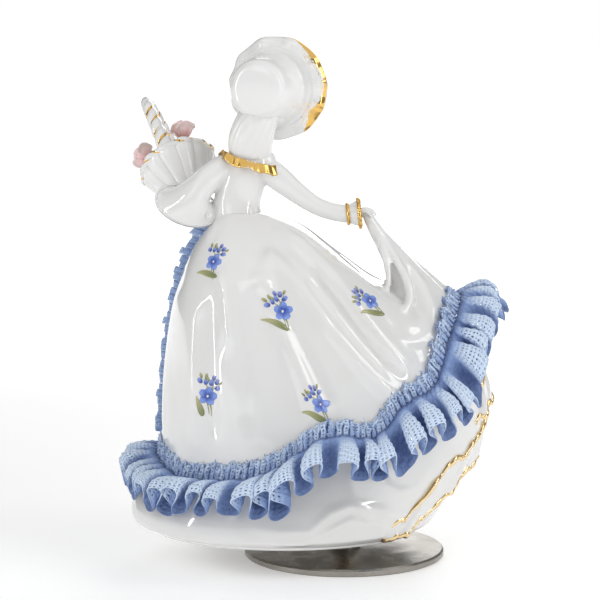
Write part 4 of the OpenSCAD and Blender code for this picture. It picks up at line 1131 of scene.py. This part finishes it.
def makeHair():
    v = np.linspace(-np.pi / 2 + 0.03, np.pi / 2 - 0.03, 90)[:, None]
    u = np.linspace(-np.pi, np.pi, 240, endpoint=False)[None, :]
    hx, hy, hz = headPlace["half"]
    grow = 1.075 + strands(u + 0.35 * np.sin(2 * v), 44, 0.035)
    x = (hx + 0.3) * grow * np.cos(v) * np.sin(u)
    y = (hy + 0.2) * grow * np.cos(v) * np.cos(u) + 0.9
    z = (hz - 0.2) * grow * np.sin(v) + 1.0
    face = ease(-y, 2.0, 4.4) * bump(x, 0, 5.6) * (1 - ease(z, 4.6, 6.0))
    y = y + 7.0 * face
    cap = ringSkin("cap", turned(np.stack([x, y, z + 0 * x], -1), headPlace["turn"], headPlace["centre"]))
    parts = [cap]
    w = np.linspace(0, 2 * np.pi, 200, endpoint=False)
    t = np.linspace(0, 1, 60)
    c = alongCurve([(27.0, 2.6, 153), (29.6, 4.2, 148.5), (31.2, 3.6, 143), (31.6, 2.4, 138),
                    (31.6, 1.6, 135.4)], t)[:, None, :]
    # gathered hair down the nape
    r = (6.6 + 0.9 * np.sin(np.pi * t))[:, None] * (1 + strands(w + 0.8 * t[:, None], 15, 0.035))
    knot = np.stack([c[..., 0] + r * np.cos(w), c[..., 1] - 0.6 + 0.72 * r * np.sin(w), c[..., 2] + 0 * w],
                    -1)
    parts.append(ringSkin("knot", knot))
    for k, (x0, z0, drop, sway) in enumerate(((-6.4, 0.5, 8.0, 0.5), (-5.6, -1.5, 8.5, 0.1),
                                              (6.6, 0.5, 8.0, -0.5), (5.8, -1.5, 9.0, -0.1),
                                              (6.9, 3.2, 7.5, -0.2), (-6.8, 3.2, 7.5, 0.3))):
        back = -3.4 + 0.9 * (k % 2)
        line = turned([(x0, back, z0 + 1.5), (x0 * 1.06, back - 0.6, z0 - drop * 0.4),
                       (x0 * 0.98 + sway, back - 0.4, z0 - drop * 0.8),
                       (x0 * 0.9 + sway, back, z0 - drop)], headPlace["turn"], headPlace["centre"])
        parts.append(curl("curl%d" % k, line, 1.45, 3.2))
    for k, x0 in enumerate(np.linspace(-4.6, 4.6, 7)):  # fringe curls under the brim
        line = turned([(x0 * 0.75, -5.6, 7.0), (x0, -7.3 + 0.05 * x0 ** 2, 5.0),
                       (x0 * 1.12 + 0.6, -6.9 + 0.06 * x0 ** 2, 3.2)],
                      headPlace["turn"], headPlace["centre"])
        parts.append(curl("fringe%d" % k, line, 1.0, 1.6))
    settle(joined("hair_curls", parts), porcelain, replaces=["hair"])


# radius and depth (towards the crown) of the hat, from the middle of the crown to the brim's edge
hatForm = [(0.02, 13.2), (5.0, 13.1), (8.0, 12.6), (9.7, 11.0), (10.5, 8.2), (11.1, 5.0), (11.7, 1.9),
           (12.5, 0.7), (14.6, 0.2), (16.4, -0.7), (17.3, -1.9)]
hatPlace = {"centre": (23.2, -2.2, 158.7), "turn": -20.0, "waves": 11, "wave": 0.45, "wall": 1.1,
            "crownShift": 2.3}


def hatPoints(t, w, inside=0.0):
    f = alongCurve(hatForm, t)
    r, d = f[..., 0], f[..., 1]
    edge = ease(r, 12.6, 17.0)
    wave = np.sin(hatPlace["waves"] * w + 0.8 * np.sin(2 * w))
    crease = sum(deep * bump(w, at, 0.05) for at, deep in ((2.92, 1.0), (3.12, 0.7), (3.55, 1.0),
                                                           (2.3, 0.35), (1.7, 0.3), (4.3, 0.6)))
    d = d + edge * (hatPlace["wave"] * wave - 0.55 * crease) - inside
    r = r * (1 + 0.012 * edge * wave) - inside * 0.6 * ease(r, 6, 11) * (1 - ease(r, 11.5, 12.5))
    # soft turned lines in the clay
    ring = 0.16 * (bump(r, 12.9, 0.35) + bump(r, 14.0, 0.3)) - 0.2 * bump(r, 8.9, 0.4)
    lean = hatPlace["crownShift"] * (1 - ease(r, 10.5, 15.5))
    local = np.stack(np.broadcast_arrays(r * np.cos(w) + lean, d + ring, r * np.sin(w)), -1)
    return turned(local, hatPlace["turn"], hatPlace["centre"])


def makeHat():
    w = np.linspace(0, 2 * np.pi, 300, endpoint=False)[None, :]
    t = np.linspace(0, 1, 120)[:, None]
    outer = hatPoints(t, w)
    back = hatPoints(t[::-1], w, hatPlace["wall"])
    r = alongCurve(hatForm, t)[..., 0]
    # how far in from the edge the gold reaches
    wide = 0.95 + 3.1 * bump(w, 3.68, 0.28) + 1.1 * bump(w, 2.45, 0.22)
    side = ease(w, 1.75, 2.3) * (1 - ease(w, 3.95, 4.25))
    gilt = (side * (0.42 + 0.9 * ease(r, 17.4 - 0.9 * wide, 17.4 - 0.2 * wide))
            * ease(r, 17.0 - 2.0 * wide, 17.2 - 1.2 * wide))
    gilt = np.maximum(gilt, ease(r, 16.9, 17.25) * (0.4 + 0.5 * side + 0.25 * np.sin(7 * w) * (w < 2.4)))
    gilt = np.broadcast_to(gilt, outer.shape[:2])
    hat = ringSkin("sun_hat_shell", np.concatenate([outer, back]),
                   {"gilt": np.concatenate([gilt, 0.8 * gilt[::-1]])})
    settle(hat, giltGlaze, replaces=["sun_hat"])


# ---------- basket and roses ----------

basketPlace = {"at": (50.7, -6, 119.4), "tilt": 40.0, "lean": 27.0, "rim": 17.4, "flutes": 12}
basketForm = [(0.02, 0), (2.4, 0), (3.4, 0.1), (4.4, 0.9), (6.2, 4.0), (8.4, 8.2), (10.6, 12.0),
              (12.3, 15.2), (13.0, 17.4)]


def inBasket(points):  # from the basket's own frame to the object's
    return np.asarray(points, float) @ spun(basketPlace["tilt"], basketPlace["lean"]).T + basketPlace["at"]


def ropeDash(w):  # gold dashes across a rope
    return (w.mark("dash") + 0.3 * (w.noise(500, 3.0) - 0.5)).fade(0.42, 0.56)


ropeGlaze = gilded("rope glaze", ropeDash, rgb(0.78, 0.48, 0.12), 0.15)


# two strands wound round each other, gold in parts of the grooves
def rope(name, path, radius, pitch, up, closed=False):
    n = len(path)
    turn = np.linspace(0, 2 * np.pi, 24, endpoint=False)[None, :]
    length = np.concatenate([[0], np.cumsum(np.linalg.norm(np.diff(path, axis=0), axis=1))])[:, None]
    twists = round(length[-1, 0] / pitch)
    t = length / length[-1]
    wind = 2 * turn + 2 * np.pi * twists * t
    groove = np.abs(np.cos(wind / 2))
    r = np.reshape(radius, (-1, 1)) * (0.8 + 0.26 * groove ** 0.8)
    dash = (1.15 - 1.9 * groove) * (0.85 + 0.5 * np.sin(2 * np.pi * twists * 0.61 * t + 2 * turn))
    rings = tubeRings(path, r, 24, 1.0, up)
    if closed:
        return newMesh(name, rings.reshape(-1, 3), gridFaces(n, 24, True), {"dash": dash})
    return ringSkin(name, rings, {"dash": dash})


def makeBasket():
    place = basketPlace
    w = np.linspace(0, 2 * np.pi, 360, endpoint=False)[None, :]
    f = alongCurve(basketForm, np.linspace(0, 1, 80))
    flute = 1 + 0.07 * (np.abs(np.cos(place["flutes"] / 2 * w)) ** 0.55 - 0.8) * ease(f[:, 1:2], 0.3, 4)
    r, h = f[:, :1] * flute, f[:, 1:2] + 0 * w
    inside = [np.stack([q * np.cos(w[0]), q * np.sin(w[0]), np.full(w.shape[1], k)], -1)
              for q, k in ((12.2, 17.9), (11.2, 17.7), (10.9, 16.6), (5, 16.6))]
    rings = np.concatenate([np.stack([r * np.cos(w), r * np.sin(w), h], -1), np.array(inside)])
    settle(ringSkin("basket_bowl", inBasket(rings)), porcelain, replaces=["basket"])
    s = np.linspace(0, 2 * np.pi, 421)
    wavy = 12.5 + 0.3 * np.cos(place["flutes"] * s)
    high = place["rim"] + 0.5 + 0.2 * np.cos(6 * s)
    rim = inBasket(np.stack([wavy * np.cos(s), wavy * np.sin(s), high], -1))
    across, upwards = inBasket(np.eye(3)[[0, 2]]) - basketPlace["at"]
    settle(tidyNormals(rope("basket_rim", rim, np.full(421, 1.15), 4.4, upwards, True), 1e-6), ropeGlaze)
    bow = np.pi * np.linspace(0, 1, 200)
    legs = np.linspace(0, 1, 60, endpoint=False)
    reach = 12.0 * np.concatenate([np.ones(60), np.cos(bow), -np.ones(60)])
    high = np.concatenate([15 * legs, 15 + 12 * np.sin(bow), 15 * (1 - legs)])
    lean = math.tan(math.radians(0.5))
    arch = evenly(inBasket(np.stack([lean * high, reach, place["rim"] + 0.8 + high], -1)), 320)
    thick = 1.85 + 0.85 * np.abs(np.linspace(-1, 1, 320)) ** 1.5
    settle(rope("basket_bow", arch, thick, 4.6, across), ropeGlaze, replaces=["basket_handle"])


roseMesh = {"petals": 15, "across": 15, "up": 13, "wall": 0.3}


def petal(angle, foot, tip, height, spread, roll):
    # a patch that widens upwards round the flower's axis and rolls out at its top edge
    u, v = np.meshgrid(np.linspace(-1, 1, roseMesh["across"]), np.linspace(0, 1, roseMesh["up"]),
                       indexing="ij")
    r = foot + (tip - foot) * v ** 0.75 + roll * ease(v, 0.7, 1.0) ** 2 - 0.12 * tip * u ** 2 * v
    a = angle + spread * u * (0.55 + 0.45 * np.sin(np.pi * np.clip(v, 0.05, 0.75)))
    h = (height * v * (1 - 0.22 * u ** 2) - 0.25 * roll * ease(v, 0.8, 1.0)
         + 0.08 * height * np.sin(3 * u + angle) * v)
    return np.stack([r * np.cos(a), r * np.sin(a), h], -1)


def roseBase(w):  # paler towards the tip of a petal
    tip = (w.mark("tip") + 0.3 * (w.noise(300, 2.0) - 0.5)).fade(0.1, 1.0)
    return tip.blend(rgb(0.95, 0.50, 0.52), rgb(1.0, 0.80, 0.80))


roseGlaze = finish("rose glaze", roseBase, 0.14, dict(glazeSockets, **{"Subsurface Weight": 0.08}))
leafGlaze = finish("leaf glaze", mottled(rgb(0.2, 0.28, 0.09), rgb(0.42, 0.46, 0.17), 200), 0.16,
                   dict(glazeSockets, **{"Subsurface Weight": 0.0}))
# each rose: place in the basket's frame, tilt about X and Y, size, node it stands for
roses = [("rose_left_bloom", (7.6, 3.6, 22.4), (4, 26), 4.4, "rose_left"),
         ("rose_right_bloom", (-6.2, 5.2, 22.2), (-14, -12), 4.8, "rose_right"),
         ("rose_front_bloom", (-2.0, -5.0, 21.4), (14, -6), 4.2, "rose_front")]


def makeRoses():
    count, across, up = roseMesh["petals"], roseMesh["across"], roseMesh["up"]
    for name, at, tilt, size, node in roses:
        spin = spun(*tilt)
        points, marks, faces = [], [], []
        for k in range(count):
            k1 = k / (count - 1)
            g = petal(k * 2.4, 0.05 + 0.10 * k1, 0.16 + 0.80 * k1 ** 1.1, 1.45 - 0.45 * k1, 1.9 - 0.9 * k1,
                      0.02 + 0.16 * k1) * size
            faces.append(gridFaces(across, up) + across * up * k)
            points.append(inBasket(g.reshape(-1, 3) @ spin.T + at))
            marks.append(np.tile(np.linspace(0, 1, up) * (0.55 + 0.45 * k1), across))
        bloom = newMesh(name, np.concatenate(points), faces, {"tip": np.concatenate(marks)})
        thicken(bloom, roseMesh["wall"])
        soft = bloom.modifiers.new("soft", "SUBSURF")
        soft.levels = soft.render_levels = 1
        settle(bloom, roseGlaze, replaces=[node])


leafPile = {"rows": ((10.4, 13, 0.0), (7.4, 10, 0.3), (4.2, 6, 0.1)), "length": 5.2, "width": 1.5,
            "across": 9, "along": 15, "thick": 0.35}


def pileHeight(r):  # height of the mound of leaves above the rim, r from the middle
    return 6.2 * (1 - (np.clip(r, 0, 11.4) / 11.6) ** 2) ** 0.6


def makeLeaves():  # a bumpy mound with pointed leaves, folded along the middle, laid over it
    rim = basketPlace["rim"]
    w = np.linspace(0, 2 * np.pi, 120, endpoint=False)[None, :]
    r = np.linspace(0.05, 11.0, 40)[:, None]
    h = rim + pileHeight(r) * 0.86 + 0.35 * np.sin(2.1 * r + 3 * w) * np.sin(5 * w + r)
    mound = np.stack(np.broadcast_arrays(r * np.cos(w), r * np.sin(w), h), -1)
    foot = np.stack(np.broadcast_arrays(10.6 * np.cos(w), 10.6 * np.sin(w), rim - 0.6 + 0 * w), -1)
    pile = ringSkin("pile", inBasket(np.concatenate([mound, foot])))
    moundPoints, faces = gathered([pile], (3, 4))
    points, start = [moundPoints], len(moundPoints)
    across, along = leafPile["across"], leafPile["along"]
    u, v = np.meshgrid(np.linspace(-1, 1, across), np.linspace(0, 1, along), indexing="ij")
    for radius, count, shift in leafPile["rows"]:
        for k in range(count):
            angle = 2 * np.pi * (k + shift) / count + 0.25 * np.sin(3.7 * k)
            x = radius - leafPile["length"] * (0.72 - v)
            y = u * leafPile["width"] * np.sin(np.pi * v ** 0.8) ** 0.9 + 0.5 * v * np.sin(2.3 * k)
            lift = (0.35 + 0.9 * np.sin(np.pi * v * 0.9) - 0.5 * (1 - np.abs(u))
                    + 0.8 * ease(v, 0.6, 1.0) * np.sin(1.9 * k))
            z = rim + pileHeight(np.hypot(x, y)) * 0.86 + lift
            x = x - 1.6 * ease(x, 11.2, 13.6)
            c, q = np.cos(angle), np.sin(angle)
            for height in (z, z - leafPile["thick"]):
                flat = np.stack([x * c - y * q, x * q + y * c, height], -1)
                points.append(inBasket(flat.reshape(-1, 3)))
            faces += [f + start for f in slabFaces(across, along)]
            start += 2 * across * along
    leaves = newMesh("basket_leaves", np.concatenate(points), faces)
    settle(tidyNormals(leaves), leafGlaze, replaces=["rose_leaves"])


makeBodice()
makeSleeveEdge()
makeHands()
makeCuff()
makeNeckRuffle()
print("body done")
makeHead()
makeHair()
makeHat()
print("head done")
makeBasket()
makeRoses()
makeLeaves()
print("basket done")


# ---------- the stand and the movement inside ----------

def turnedGrooves(w, centre, pitch):  # fine rings about an upright axis, 0 to 1
    split = w.add("ShaderNodeSeparateXYZ", {}, {0: w.add("ShaderNodeTexCoord", out=3)})
    x, y = split.outputOf(0) - centre[0] * mm, split.outputOf(1) - centre[1] * mm
    r = w.maths("SQRT", x * x + y * y)
    return w.maths("SINE", r * (2 * math.pi / (pitch * mm))) * 0.5 + 0.5


def metal(name, light, dark, smooth, rough, scale=400, grooves=None, bumpBy=0.02):
    def gloss(w):
        spread = uneven(smooth, rough, scale * 2.3)(w)
        return spread + turnedGrooves(w, *grooves) * 0.06 if grooves else spread

    return finish(name, mottled(light, dark, scale, 4.0, (0.3, 0.72), 0.6), gloss, {"Metallic": 1.0},
                  grain=(scale * 3, bumpBy, 0.35))


metals = {
    "nickel": metal("polished nickel", rgb(0.38, 0.36, 0.33), rgb(0.30, 0.28, 0.25), 0.22, 0.34, 60,
                    ((0, 0), 0.35)),
    "steel": metal("cut steel", rgb(0.50, 0.50, 0.51), rgb(0.33, 0.33, 0.34), 0.22, 0.38),
    "brass": metal("rolled brass", rgb(0.72, 0.52, 0.20), rgb(0.52, 0.35, 0.12), 0.2, 0.36),
    "spring": metal("blued spring steel", rgb(0.10, 0.14, 0.30), rgb(0.05, 0.06, 0.12), 0.2, 0.34),
    "zinc": metal("cast zinc", rgb(0.46, 0.46, 0.47), rgb(0.30, 0.30, 0.31), 0.42, 0.62, 260, None, 0.08),
    "nylon": finish("white nylon",
                    mottled(rgb(0.75, 0.73, 0.66), rgb(0.66, 0.63, 0.55), 500, span=(0.3, 0.7)),
                    uneven(0.35, 0.5, 900, 2.0), {"Subsurface Weight": 0.1}, grain=(1200, 0.03, 0.3)),
    "resin": finish("set resin", mottled(rgb(0.62, 0.55, 0.36), rgb(0.45, 0.37, 0.2), 140),
                    uneven(0.2, 0.45, 400, 2.0), {"Coat Weight": 0.3}, grain=(240, 0.1, 0.5))}
metalOf = {
    "nickel": ["turntable_disc", "shaft_collar", "mounting_plate"],
    "steel": ["collar_screw", "winding_shaft", "bedplate_screws", "comb", "comb_screws", "governor_screw",
              "drum_pins", "drum_arbor", "governor_arbor", "governor_bracket", "worm"],
    "brass": ["crown_wheel", "shaft_bush", "spring_barrel", "barrel_cover", "drum", "drum_pinion",
              "drum_wheel", "governor_pinion"],
    "spring": ["mainspring"],
    "zinc": ["bedplate", "drum_bearings"],
    "nylon": ["worm_wheel", "air_brake"],
    "resin": ["bonding_ring"]}


def dressMovement():
    for look, nodes in metalOf.items():
        for node in nodes:
            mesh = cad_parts[node].data
            mesh.materials.clear()
            mesh.materials.append(metals[look])


dressMovement()
print("stand and movement done")


# ---------- floor ----------

floorSize = {"rings": (0, 200, 450, 700, 1000, 2000, 6000), "around": 64}


def farGlow(w):  # the far floor glows pale, so that it meets the backdrop without an edge
    place = w.add("ShaderNodeTexCoord", out=3)
    away = w.add("ShaderNodeVectorMath", {"operation": "LENGTH"}, {0: place}, out=1)
    return away.fade(0.16, 1.1).blend(rgb(0.31, 0.31, 0.31), rgb(0.9, 0.9, 0.905))


floorLook = finish("floor", rgb(0.9, 0.9, 0.9), 0.6, {"Emission Color": farGlow, "Emission Strength": 1.0})


def makeFloor():  # a round flat sheet
    w = np.linspace(0, 2 * np.pi, floorSize["around"], endpoint=False)[None, :]
    r = np.array(floorSize["rings"], float)[:, None] + 0.01
    g = np.stack(np.broadcast_arrays(r * np.cos(w), r * np.sin(w), 0 * w), -1)
    obj = newMesh("floor", g.reshape(-1, 3), gridFaces(len(r), floorSize["around"], True))
    obj.data.materials.append(floorLook)


makeFloor()
